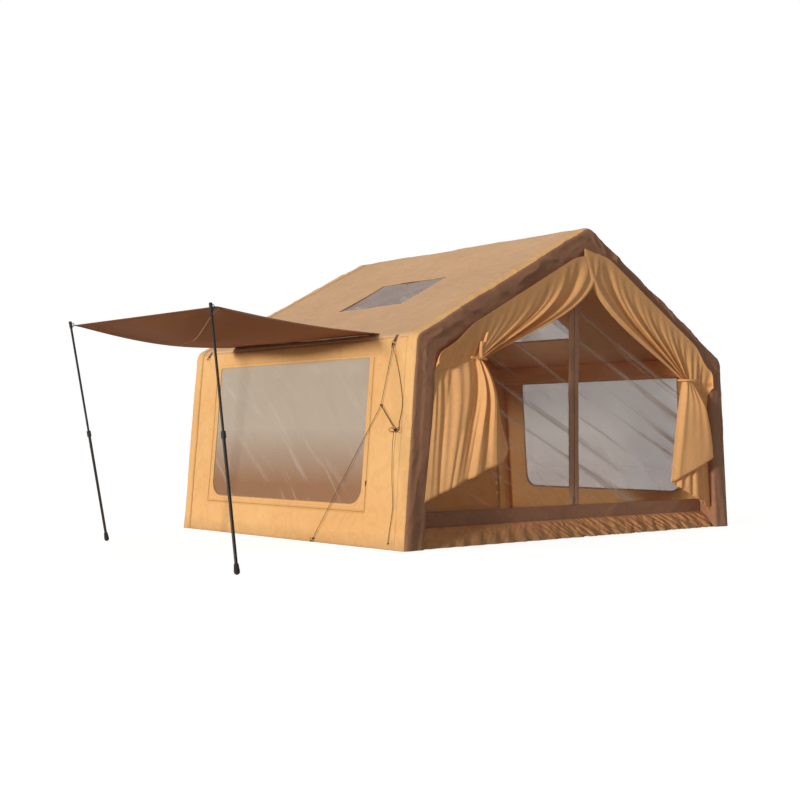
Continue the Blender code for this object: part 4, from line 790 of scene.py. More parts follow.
def make_sleeves():
    profile = sleeve_profile()
    for seed, (end, y, facing) in enumerate((("front", FRONT_ARCH, 1.0), ("rear", REAR_ARCH, -1.0))):
        rows = []
        for mirror, s in arch_samples(SLEEVE_STEPS):
            t = mirror * (S_RIDGE - s)
            point, move, normal = section(s)
            row = []
            for across, depth, on_side, on_front in profile:
                lift = sleeve_face(seed, t, s, across) * on_front
                out = skin(mirror, y + facing * depth * SLEEVE_RADIUS, s) * on_side
                spot = point + move * (SLEEVE_RADIUS * (1.0 - across)) - normal * out
                row.append(at(mirror * spot.x, y + facing * (depth * SLEEVE_RADIUS - lift), max(ON_GROUND, spot.y)))
            spot = point + move * 2 * SLEEVE_RADIUS
            row += [at(mirror * spot.x, y + facing * SLEEVE_RETURN * share, max(ON_GROUND, spot.y))
                    for share in (0.5, 1.0)]
            rows.append(row)
        mesh = grid_mesh(rows)
        width = len(rows[0]) - 1
        # The front columns take the border cloth: painted shade on the sleeve's front face
        mesh.polygons.foreach_set("material_index", [int(i % width >= SIDE_COLUMNS)
                                                     for i in range(len(mesh.polygons))])
        sheet_piece(end + "_sleeve_cloth", mesh, TO_FRONT * facing, [M_SHELL, M_BORDER_PAINTED_SHADE], "shell_cloth",
                    (0.60, 2 * S_RIDGE), "stretched", [end + "_arch_beam"],
                    node=end + "_arch_cover", thickness=COVER)


CROSS_BEAM_IN, BEAM_CREASE = 0.085, 0.002


def make_air_tubes():
    """The air tubes in their drawn-tight sleeves, seen from inside the cabin."""
    angles = [2.0 * math.pi * k / BEAM_SIDES for k in range(BEAM_SIDES)]

    def finish(name, rows):
        mesh = grid_mesh(rows, True)
        tidy(mesh)
        finish_piece(name + "_sleeve", mesh, M_INSIDE, "beam_sleeve", name)

    for name, y in (("front_arch_beam", FRONT_ARCH), ("rear_arch_beam", REAR_ARCH)):
        rows = []
        for mirror, s in arch_samples(ARCH_STEPS):
            point, move, _ = section(s)
            row = []
            for angle in angles:
                radius = BEAM_RADIUS - 0.001 - BEAM_CREASE * ridged(s * 8.0, math.cos(angle), 201.0, 3.0)
                spot = point + move * (SLEEVE_RADIUS - radius * math.cos(angle))
                row.append(at(mirror * spot.x, y + radius * math.sin(angle), max(ON_GROUND, spot.y)))
            rows.append(row)
        finish(name, rows)
    eave, ridge = [SECTION[k][0] + SECTION[k][2] * BEND_ROUND + SECTION[k][1] * 0.0008 for k in (1, -1)]
    for name, x, z in (("eave_beam_left", -eave.x, eave.y), ("eave_beam_right", eave.x, eave.y),
                       ("ridge_beam", 0.0, ridge.y)):
        rows = []
        for share in shares(CROSS_STEPS):
            y = FRONT_ARCH + CROSS_BEAM_IN + (REAR_ARCH - FRONT_ARCH - 2 * CROSS_BEAM_IN) * share
            row = []
            for angle in angles:
                radius = CROSS_BEAM_RADIUS - 0.0005 - BEAM_CREASE * ridged(y * 7.0, math.cos(angle), 205.0, 3.0)
                row.append(at(x + radius * math.cos(angle), y, z + radius * math.sin(angle)))
            rows.append(row)
        finish(name, rows)


REAR_PLANE, REAR_HEM_HALF, REAR_HEM_HEIGHT = REAR_ARCH - 0.06, 1.7, 0.05


def make_rear_wall():
    right = [(p.x, p.y) for p in outline(INNER_INSET, 0.0)]
    loop = right + [(-x, z) for x, z in reversed(right[:-1])]

    def place(x, z, out=0.0):
        lie = 0.010 * (0.5 + soft(x * 1.4, z * 0.8, 101.0)) + 0.006 * ridged(x * 1.8, z * 0.6, 103.0, 4.0)
        return at(x, REAR_PLANE - lie + out, max(z, HEM_GROUND))

    sheet_piece("rear_wall_cloth", sheet_mesh(loop, [], WIDE_SPACING, place), -TO_FRONT, M_SHELL, "shell_cloth",
                (3.6, 2.25), "stretched", ["rear_sleeve_cloth"], node="rear_wall", thickness=COVER)
    line = [place(REAR_HEM_HALF * (2.0 * share - 1.0), REAR_HEM_HEIGHT, 0.0012) for share in shares(120)]
    finish_piece("rear_hem_stitches", stitch_mesh(line, -TO_FRONT, HEM_STITCH), M_STITCH, "shell_cloth")


SKIRT_FLARE, SKIRT_FOLDS = 0.13, 22
SKIRT_MAIN, SKIRT_SLANT, SKIRT_FINE = 0.008, 0.018, 0.006
SKIRT_BACK, SKIRT_LAP = 0.014, 0.010
SILL_THICKNESS = 0.004


def make_front_band():
    back = LEAF_PLANE + 0.002

    def sill(down, share):
        z = SILL_TOP + (SILL_BOTTOM - SILL_TOP) * down
        x = wall_x(INNER_INSET, z) * (2.0 * share - 1.0)
        lie = 0.004 * soft(x * 2.5, z * 3.0, 111.0) + 0.004 * ridged(x * 3.0 - z * 6.0, z * 2.0, 113.0)
        return at(x, back - SILL_THICKNESS - max(0.0, lie), z)

    def skirt(down, share):
        z = (SILL_BOTTOM + SKIRT_LAP) * (1.0 - down)
        gathered = smooth((share - 0.25) / 0.3)
        drift = 0.35 * soft(share * 6.0, 0.0, 121.0)
        main = math.sin(2 * math.pi * (SKIRT_FOLDS * share + drift + 0.25 * down))
        slant = ridged(share * 44.0 - down * 2.0, share * 7.0 + down, 125.0, 1.5) - 0.4
        fine = soft(share * 95.0 + down * 4.0, down * 1.5, 123.0)
        pleats = (SKIRT_SLANT * slant * gathered + SKIRT_FINE * fine) * smooth(5 * down * (1.3 - down))
        y = back - SKIRT_BACK - SKIRT_FLARE * down ** 0.8 + SKIRT_MAIN * down * main + pleats + 0.006 * down
        return at(wall_x(INNER_INSET, z) * (2 * share - 1), y, max(z, HEM_GROUND))

    # The sill takes the border cloth: painted shade
    sheet_piece("sill_cloth", field_mesh(14, 240, sill), TO_FRONT, M_BORDER_PAINTED_SHADE, "shell_cloth",
                (3.56, SILL_TOP - SILL_BOTTOM), "stretched", ["front_sleeve_cloth"], node="front_sill",
                thickness=SILL_THICKNESS)
    sheet_piece("skirt_cloth", field_mesh(18, 560, skirt), TO_FRONT, M_SKIRT, "shell_cloth", (4.3, 0.22),
                "gathered", ["sill_cloth"], node="front_skirt", thickness=COVER)


# The door's zip stands off its strip of binding, as (across, off) pairs
STRIP_OFF, COIL_OFF, COIL_TOP = 0.003, 0.0060, 2.12
STRIP_THICKNESS, STRIP_PUFF, FILM_MIDDLE, STRIP_MIDDLE = 0.002, 0.011, 0.0005, 0.0006
COIL_SHAPE = ((0.0046, 0.0), (0.003, 0.0018), (0.0006, 0.0024))


def make_leaf(side, mirror):
    low = SILL_TOP + 0.001
    half = [(p.x, p.y) for p in outline(LEAF_INSET, low)]
    half[-1] = (FILM_MIDDLE, half[-1][1])
    loop = half + [(FILM_MIDDLE, low)]
    top = half[-1][1]
    body = "door_" + side

    def place(x, z):
        edge = min(distance_to((x, z), loop) / 0.15, 1.0)
        w = 0.57 * mirror * x + 0.82 * z
        u = 0.82 * mirror * x - 0.57 * z
        strain = 0.008 * (0.5 + soft(w * 2.2, u * 0.7, 131.0)) + 0.008 * ridged(w * 3.2, u * 0.5, 133.0, 3.0)
        return at(mirror * x, LEAF_PLANE + 0.001 + strain * smooth(edge), z)

    sheet_piece("door_film_" + side, sheet_mesh(loop, [], WIDE_SPACING, place), TO_FRONT, M_DOOR_FILM, "clear_film",
                (1.76, 1.99), "hung", ["front_sleeve_cloth"], node="door_leaf_" + side, body=body, thickness=FILM)

    def strip(up, share):
        z = low + (top - 0.012 - low) * up
        wander = 0.008 * soft(z * 2.4, 0.3, 143.0) + 0.003 * soft(z * 8.0, 0.7, 145.0)
        x = STRIP_MIDDLE + (STRIP_WIDTH - STRIP_MIDDLE + mirror * wander) * share
        lap = 0.0016 if share < 0.24 else 0.0
        puff = 0.004 * math.sin(math.pi * share) + 0.005 * soft(z * 6.0, x * 26.0, 141.0 + mirror) + lap
        drop = 0.5 * x if up == 1.0 else 0.0
        return at(mirror * x, LEAF_PLANE - STRIP_OFF - clamp(puff, 0.0, STRIP_PUFF), z - drop)

    # The door's binding strips take the trim cloth, darkened as painted shade
    sheet_piece("door_binding_" + side, field_mesh(150, 10, strip), TO_FRONT, M_TRIM_PAINTED_SHADE, "trim_cloth",
                (STRIP_WIDTH, top - low), "hung", ["door_film_" + side], node="door_zip_strip_" + side, body=body,
                thickness=STRIP_THICKNESS)
    mesh = grid_mesh([[at(mirror * x, LEAF_PLANE - COIL_OFF - off, low + 0.006 + (COIL_TOP - low) * up)
                       for x, off in COIL_SHAPE] for up in shares(300)])
    face_out(mesh, TO_FRONT)
    finish_piece("door_zip_coil_" + side, mesh, M_ZIP, "zip_tape", body=body)


# Curtains: a tie and a hem line for each, as (across, height) pairs, the hem from the post inwards

LEFT_TIE, RIGHT_TIE = (1.26, 1.36), (1.36, 1.30)
LEFT_HEM = ((1.76, 0.33), (1.60, 0.42), (1.26, 0.57), (1.00, 0.635), (0.94, 0.70))
RIGHT_HEM = ((1.76, 0.10), (1.72, 0.17), (1.165, 0.41))
RIGHT_FLAP_CORNER = (1.66, 0.62)
TIE_BUNDLE = 0.10
POST_WAIST_DROP = 0.06
CURTAIN_BULGE = 0.045
FOLD_DEPTH, FLAP_DEPTH = 0.022, 0.034
TOP_DROP, EDGE_SAG = 0.47, 0.14
CURTAIN_FOLDS = 5
CURTAIN_ROWS, CURTAIN_RIBS = 108, 210
POST_HEADING, LEFT_HEADING, RIGHT_HEADING = 0.195, 0.150, 0.115
LEFT_HEM_INSET = 0.165
HEADING_OUT, WAIST_OUT = 0.137, 0.080
TIE_RADIUS, TIE_SIDES, TIE_FLAT = 0.0055, 12, 1.5
FLAP_LIE, FLAP_OUT, FLAP_BELLY = 0.0033, 0.07, 0.05
PETAL_OUT, PETAL_BULGE, PETAL_LEAN = 0.105, 0.016, 0.03
APEX_DROP = Vector((0.10, 0.010))


def along(points, share):
    """The point at a share of a line's length."""
    lengths = [(b - a).length for a, b in zip(points, points[1:])]
    left = share * sum(lengths)
    for i, length in enumerate(lengths):
        if left <= length or i == len(lengths) - 1:
            return points[i].lerp(points[i + 1], min(1.0, left / length))
        left -= length


def bezier(a, b, c, d, share):
    rest = 1.0 - share
    return a * rest ** 3 + 3 * b * rest * rest * share + 3 * c * rest * share * share + d * share ** 3


def curtain_rib(headings, hem_points, waist_post, tie, share, mirror):
    """One rib of a tied-back curtain: it is drawn from the heading to the tie, and fans out below.
    The heading lies on the first line at the post, then on the second, and midway at the apex."""
    left = mirror < 0
    over = smooth((share - 0.10) / 0.18) * (1.0 - 0.5 * smooth((share - 0.88) / 0.12))
    top = along(headings[0], share).lerp(along(headings[1], share), over)
    top -= APEX_DROP * smooth((share - 0.86) / 0.14)
    low = along(hem_points, share)
    bundle = Vector(tie) + Vector(((0.5 - share) * TIE_BUNDLE, 0.0))
    waist = waist_post.lerp(bundle, smooth(share / 0.4))
    hang = share ** 1.5
    fall = top - Vector((0.0, TOP_DROP * hang))
    reach = top.lerp(waist, 0.5) - Vector((0.0, EDGE_SAG * hang))
    edge = math.sin(math.pi * min(1.0, 4.0 * share) / 2)
    main = math.sin(2 * math.pi * CURTAIN_FOLDS * share ** 1.4)
    if left:
        fan_out = 0.108 + 0.14 * min(1.0, share / 0.70) - 0.15 * smooth((share - 0.66) / 0.34)
    else:
        fan_out = 0.05 + 0.05 * smooth(share / 0.5) - 0.04 * smooth((share - 0.6) / 0.4)
    points = []
    for down in shares(CURTAIN_ROWS):
        loose = min(1.0, abs(2.0 * down - 1.0))
        spread = math.sin(math.pi * loose)
        drift = 0.5 * soft(share * 3.0, down * 1.6, 151.0 + mirror)
        if down < 0.5:
            place = bezier(top, fall, reach, waist, smooth(2 * down))
            out = HEADING_OUT + (WAIST_OUT - HEADING_OUT) * smooth(2 * down)
            calm = (0.14 if left else 0.6) + 0.80 * smooth((share - 0.55) / 0.25)
            tight = 0.35 + 1.25 * smooth((share - 0.62) / 0.2) if left else 0.9 + 0.5 * share
            rows = edge
            held = smooth((2.2 + 4.0 * smooth((share - 0.78) / 0.15)) * down)
        else:
            place = waist.lerp(low, 1.0 - math.cos((down - 0.5) * math.pi))
            out = WAIST_OUT + (fan_out - WAIST_OUT) * smooth(3.2 * (down - 0.5))
            calm = 1.0
            tight = 0.75 * (1.0 - 0.7 * loose) + 0.45 * (1.0 - smooth(share / 0.3))
            rows = edge if left else edge * smooth((1.0 - share) / 0.2)
            held = 1.0
        pleat = math.sin(2 * math.pi * (17.0 * share + drift))
        fan = ridged(share * 7.0 + 0.3 * drift, down * 1.2, 157.0 + mirror, 2.0) - 0.35
        fold = FOLD_DEPTH * (0.3 + 0.7 * spread) * main * min(1.0, calm)
        fold += 0.0085 * pleat * tight * (0.35 + 0.65 * spread)
        fold += 0.014 * fan * smooth((down - 0.5) * 5.0)
        fold += 0.004 * soft(share * 14.0, down * 5.0, 153.0 + mirror)
        points.append(Vector((place.x, FRONT_ARCH - out + fold * rows * held, place.y)))
    return points


def make_curtain(side, mirror, tie, hem):
    """Makes a curtain and its tie band, and gives back the rib at its free edge."""
    left = mirror < 0
    height = tie[1] - POST_WAIST_DROP
    headings = [outline(inset, height) for inset in (POST_HEADING, LEFT_HEADING if left else RIGHT_HEADING)]
    low_post = Vector((wall_x(INNER_INSET, height - POST_WAIST_DROP), height - POST_WAIST_DROP))
    hem_points = [Vector((wall_x(LEFT_HEM_INSET if left else INNER_INSET, hem[0][1]), hem[0][1]))]
    hem_points += [Vector(p) for p in hem[1:]]
    ribs = [curtain_rib(headings, hem_points, low_post, tie, share, mirror) for share in shares(CURTAIN_RIBS)]
    mesh = grid_mesh([[at(mirror * rib[i].x, rib[i].y, rib[i].z) for rib in ribs]
                      for i in range(CURTAIN_ROWS + 1)])
    sheet_piece("curtain_cloth_" + side, mesh, TO_FRONT, M_CURTAIN, "curtain_cloth", (2.15, 1.75), "gathered",
                ["front_sleeve_cloth"], node="curtain_" + side, thickness=CURTAIN)

    post = wall_x(INNER_INSET + 0.0015, height)
    free = tie[0] - TIE_BUNDLE / 2 - 0.021
    depth = CURTAIN_BULGE + 0.024 + (0.0 if left else FLAP_DEPTH)
    back = FRONT_ARCH + FOLD_DEPTH - CURTAIN_BULGE / 2
    band = [at(mirror * x, back - forward * depth - out, z) for x, z, forward, out in (
        (post, height, -0.3, 0.0), (tie[0] + 0.15, tie[1], 0.0, 0.01), (free, tie[1], 0.3, 0.02),
        (free - 0.014, tie[1], 0.6, 0.03), (free, tie[1], 0.9, 0.045), (tie[0], tie[1], 1.1, 0.05),
        (tie[0] + 0.10, tie[1] + 0.004, 1.0, 0.045))]
    finish_piece("tie_band_" + side, tube_mesh(smooth_route(band, 8), TIE_RADIUS, TIE_SIDES, TIE_FLAT, UP),
                 M_CURTAIN, "trim_cloth", "curtain_tie_" + side)
    return ribs[-1]


def make_flap(edge):
    """The right curtain's turned-back layer, which lies in front of it from its folded edge."""
    fold = edge[CURTAIN_ROWS // 2 + 3:]
    head = Vector((RIGHT_TIE[0] + TIE_BUNDLE / 2, fold[0].z))
    rows = []
    for point, down in zip(fold, shares(len(fold) - 1)):
        outer = head.lerp(Vector(RIGHT_FLAP_CORNER), down) + Vector((FLAP_BELLY * math.sin(math.pi * down), 0.0))
        row = []
        for share in shares(60):
            place = Vector((point.x, point.z)).lerp(outer, share)
            ripple = 0.006 * math.sin(2 * math.pi * share) * down
            ripple += 0.006 * soft(share * 5.0, down * 1.5, 171.0) * smooth(3 * down)
            ripple += 0.004 * math.sin(2 * math.pi * 4.0 * share + 2.0 * down) * (1.0 - down) * smooth(8 * down)
            off = FLAP_LIE + (FLAP_DEPTH - ripple) * smooth(6.0 * share) + FLAP_OUT * share * smooth(2.5 * down)
            row.append(at(place.x, point.y - off, place.y))
        rows.append(row)
    sheet_piece("curtain_flap_cloth", grid_mesh(rows), TO_FRONT, M_CURTAIN, "curtain_cloth", (0.60, 0.95), "hung",
                ["curtain_cloth_right"], node="curtain_flap_right", thickness=CURTAIN)


def make_petals():
    """Two loops of the left curtain's bundle that stand up over its tie."""
    for name, lean, height, width in (("petal_near", 0.028, 0.20, 0.017), ("petal_far", -0.035, 0.13, 0.015)):
        def place(up, share):
            half = width * math.sin(math.pi * (0.08 + 0.92 * up) ** 0.8) + 0.002
            across = 2.0 * share - 1.0
            y = FRONT_ARCH - PETAL_OUT - PETAL_BULGE * (1.0 - across * across) - PETAL_LEAN * up
            return at(-LEFT_TIE[0] + 0.012 + lean * up + half * across, y, LEFT_TIE[1] - 0.006 + height * up)

        sheet_piece("curtain_" + name, field_mesh(24, 12, place), TO_FRONT, M_CURTAIN, "curtain_cloth",
                    (2.4 * width, height), "folded", ["curtain_cloth_left"], thickness=CURTAIN)


# Awning

AWNING_SAG, AWNING_EDGE_SAG = 0.05, 0.055
AWNING_THICKNESS, HEM_THICKNESS, HEM_OFF, HEM_WIDTH = 0.0014, 0.0007, 0.0018, 0.018
ROOF_RUN = (SECTION[ROOF_START + 1][0] - SECTION[ROOF_START][0]).normalized()
HINGE = SECTION[ROOF_START][0] - SECTION[ROOF_START][1] * 0.00155 + ROOF_RUN * 0.030
INNER_NEAR, INNER_BACK = [at(-HINGE.x, FRONT_FACE + along_roof, HINGE.y) for along_roof in (0.48, 2.33)]
OUTER_NEAR = at(-BASE_WIDTH / 2 - 1.520, FRONT_FACE, 1.559)
OUTER_BACK = at(-BASE_WIDTH / 2 - 1.525, FRONT_FACE + 1.84, 1.574)
STRAP_ROW = 11.0 / 12.0


def awning_base(across, out):
    """A point of the awning: across runs from its near to its back edge, out from the hinge."""
    point = INNER_NEAR.lerp(INNER_BACK, across).lerp(OUTER_NEAR.lerp(OUTER_BACK, across), out)
    belly = math.sin(math.pi * across) ** 2 * math.sin(math.pi * min(1.0, 0.55 * out + 0.45 * out * out))
    edge = (0.4 + 0.6 * across) * math.sin(math.pi * out)
    return point - UP * (AWNING_SAG * belly + AWNING_EDGE_SAG * edge)


def awning_point(across, out, lift=0.0):
    """The same with small waves, and drag lines that spread from the outer corners."""
    pulls = 0.005 * soft(across * 3.0, out * 2.0, 161.0)
    for corner in (0.0, 1.0):
        dx, dy = (across - corner) * 1.9, (out - 1.0) * 1.7
        radius = math.hypot(dx, dy)
        rays = math.sin(math.atan2(dy, dx) * 9.0 + corner)
        pulls += 0.008 * rays * math.exp(-radius / 0.45) * smooth(radius / 0.1)
    free = smooth(min(across, 1.0 - across) / 0.05 + 0.1) * smooth((1.0 - out) * 12.0) * smooth(out * 8.0)
    return awning_base(across, out) + UP * (lift + pulls * free)


def awning_hem(name, spots, material):
    """A folded hem round an edge: spots are (across, out) pairs, from the edge inwards."""
    rows = []
    for (a1, o1), (a2, o2) in spots:
        top, low = [[awning_point(a1 + (a2 - a1) * k, o1 + (o2 - o1) * k, lift) for k in (1.0, 0.5, 0.08)]
                    for lift in (HEM_OFF, -HEM_OFF)]
        edge = awning_point(a1, o1)
        rows.append(top + [edge + (edge - top[1]).normalized() * 0.0012] + low[::-1])
    sheet_piece("awning_hem_" + name, grid_mesh(rows), None, material, "awning_cloth", (2.1 * HEM_WIDTH, 1.9),
                "folded", ["awning_cloth"], body="awning_sheet", thickness=HEM_THICKNESS, offset=0.0)


def make_awning():
    sheet_piece("awning_cloth", field_mesh(96, 96, lambda out, across: awning_point(across, out)), UP,
                M_AWNING, "awning_cloth", (1.85, 1.90), "stretched", ["near_pole_strap", "back_pole_strap"],
                node="awning", body="awning_sheet", thickness=AWNING_THICKNESS, offset=0.0)
    outs = [0.045 + 0.95 * share for share in shares(90)]
    awning_hem("near", [((0.0, o), (HEM_WIDTH / 1.85, o)) for o in outs], M_HEM)
    awning_hem("back", [((1.0, o), (1.0 - HEM_WIDTH / 1.85, o)) for o in outs], M_AWNING)
    crosses = [0.005 + 0.99 * share for share in shares(90)]
    awning_hem("outer", [((a, 1.0), (a, 1.0 - HEM_WIDTH / 1.7)) for a in crosses], M_AWNING)
    mesh = grid_mesh([[awning_point(across + k, 0.985 - 0.6 * across + k, -0.0016) for k in (-0.002, 0.002)]
                      for across in shares(60)])
    sheet_piece("awning_seam", mesh, -UP, M_HEM, "awning_cloth", (0.010, 2.1), "stretched", ["awning_cloth"],
                body="awning_sheet", thickness=0.0006)


# Straps, tabs and ropes

STRAP_SQUARE = ((-0.004, -0.009), (-0.004, 0.009), (-0.038, 0.009), (-0.038, -0.009))
STRAP_END, STRAP_TIP, STRAP_WIDTH, STRAP_THICKNESS = -0.045, 0.020, 0.026, 0.002
STRAP_EYE, STRAP_EYE_RADIUS, STRAP_BESIDE = 0.010, 0.006, 0.013
TAB_SQUARE = ((-0.011, -0.018), (0.011, -0.018), (0.011, 0.018), (-0.011, 0.018))


def circle(radius, sides):
    return [(radius * math.cos(2.0 * math.pi * k / sides), radius * math.sin(2.0 * math.pi * k / sides))
            for k in range(sides)]


def webbing_mesh(matrix, low, high, width, thickness, eye=None, eye_radius=0.0):
    """A flat strap in a matrix's X-Y plane, from X low to high, with an eyelet."""
    loop = rounded(low, high, -width / 2, width / 2, 0.002, 0.002, 2)
    holes = [] if eye is None else [[(eye + x, y) for x, y in circle(eye_radius, 20)]]
    sides = (-thickness / 2, thickness / 2)
    meshes = [sheet_mesh(loop, holes, WEBBING_STEP, lambda x, y: matrix @ Vector((x, y, up))) for up in sides]
    meshes += [grid_mesh([[matrix @ Vector((x, y, up)) for x, y in ring] for up in sides], True)
               for ring in [loop] + holes]
    return joined(*meshes)


def make_box_stitch(name, matrix, square, off, facing, body):
    """A sewn square with one diagonal, on a strap."""
    line = [matrix @ Vector((x, y, off)) for x, y in square + (square[0], square[2])]
    mesh = stitch_mesh(line, facing, SMALL_STITCH)
    finish_piece(name + "_stitches", mesh, M_STITCH, "webbing", body=body)


def pole_strap(name, corner, other, inner):
    outward = (corner - inner).normalized()
    sideways = (other - corner).normalized()
    normal = outward.cross(sideways).normalized()
    if normal.z < 0.0:
        normal.negate()
    middle = corner + sideways * STRAP_BESIDE - normal * (STRAP_THICKNESS + 2 * GAP)
    matrix = frame_matrix(middle, outward, normal.cross(outward), normal)
    mesh = webbing_mesh(matrix, STRAP_END, STRAP_TIP, STRAP_WIDTH, STRAP_THICKNESS, STRAP_EYE, STRAP_EYE_RADIUS)
    finish_piece(name + "_webbing", mesh, M_WEBBING, "webbing", name, "awning_sheet")
    make_box_stitch(name, matrix, STRAP_SQUARE, -0.0013, -normal, "awning_sheet")


TAB_LENGTH, TAB_WIDTH, TAB_THICKNESS, TAB_OFF = 0.050, 0.030, 0.0022, 0.0024
TAB_LOOP_RADIUS, TAB_LOOP_WIRE, TAB_LOOP_FLAT = 0.007, 0.0015, 2.6
TAB_STATIONS = (9, 13)
GUY_RING_RADIUS, GUY_RING_WIRE = 0.015, 0.0025
RING_STAND_OFF = TAB_LOOP_RADIUS + TAB_LOOP_WIRE
RING_DROP = TAB_LENGTH / 2 + TAB_LOOP_RADIUS - TAB_LOOP_WIRE - GUY_RING_WIRE - 0.0006
CORNER_TAB_ALONG = 0.224
ROPE_RADIUS, ROPE_SEAT, ROPE_LAYER, ROPE_TAIL = 0.002, 0.008, 0.0025, 0.030
ELBOW_ALONG, ELBOW_HEIGHT, ELBOW_SEAT = 0.320, 1.011, 0.014
KNOT_ALONG, KNOT_HEIGHT = 0.146, 0.833
BOW_WIDTH, BOW_HEIGHT = 0.070, 0.035
BIGHT_RADIUS, STRANDS_APART = 0.0085, 0.006
PEG_LOOP_RADIUS, PEG_LOOP_WIRE, PEG_LOOP_ALONG = 0.018, 0.003, 1.010
STRAND_PLACES = ((0.165, 1.26), (0.115, 1.10), (0.100, 1.00), (0.118, 0.90))
BOW_SHARES = ((1.0, 0.4), (1.6, 0.45), (1.75, 0.0), (1.0, -0.35), (0.0, -0.1),
              (-0.9, 0.4), (-1.5, 0.5), (-1.7, 0.0), (-0.9, -0.45), (-0.1, -0.3))
TAIL_SHARES = ((0.14, 0.96), (0.20, 0.84), (0.06, 0.60), (-0.23, 0.36), (0.09, 0.14), (0.17, 0.05))


def bend_frame(mirror, along_wall):
    """The plane of a corner tab, on the round of the eave."""
    low, high = [SECTION[k][0] - SECTION[k][1] * GAP for k in TAB_STATIONS]
    middle, rise = (low + high) / 2, (high - low).normalized()
    up, level = Vector((mirror * rise.x, 0.0, rise.y)), Vector((0.0, mirror, 0.0))
    return frame_matrix(at(mirror * middle.x, FRONT_FACE + along_wall, middle.y), level, up,
                        level.cross(up).normalized())


def make_tabs():
    for end, along_wall in (("front", CORNER_TAB_ALONG), ("rear", BASE_DEPTH - CORNER_TAB_ALONG)):
        for side, mirror in (("left", -1.0), ("right", 1.0)):
            name = "%s_guy_%s" % (end, side)
            matrix = bend_frame(mirror, along_wall)
            axes = matrix.to_3x3()
            turned = matrix @ Matrix.Translation((0.0, 0.0, TAB_OFF)) @ Matrix.Rotation(math.pi / 2, 4, "Z")
            strap = webbing_mesh(turned, -TAB_LENGTH / 2, TAB_LENGTH / 2, TAB_WIDTH, TAB_THICKNESS)
            loop = [matrix @ Vector((0.0, -TAB_LENGTH / 2 + x, RING_STAND_OFF + y))
                    for x, y in circle(TAB_LOOP_RADIUS, 24)]
            ring = tube_mesh(loop, TAB_LOOP_WIRE, 8, TAB_LOOP_FLAT, axes @ LEVEL, True)
            finish_piece(name + "_webbing", joined(strap, ring), M_WEBBING, "webbing", name + "_tab")
            make_box_stitch(name, matrix, TAB_SQUARE, 0.0036, axes @ UP, "tent")


def on_wall(along_wall, height, out):
    return at(-wall_x(-out, height), FRONT_FACE + along_wall, height)


def hairpin(centre, over, across, radius):
    """A half turn round a wire: it starts on the across side and passes over to the other."""
    return [centre + (across * math.cos(math.pi * a) + over * math.sin(math.pi * a)) * radius for a in shares(12)]


def coil(centre, axis, radius, pitch, turns):
    """A short helix, for a knot's wraps."""
    side = axis.orthogonal().normalized()
    other = axis.cross(side)
    return [centre + axis * (pitch * (i / 12 - turns / 2)) + side * (radius * math.cos(2 * math.pi * i / 12))
            + other * (radius * math.sin(2 * math.pi * i / 12)) for i in range(turns * 12 + 1)]


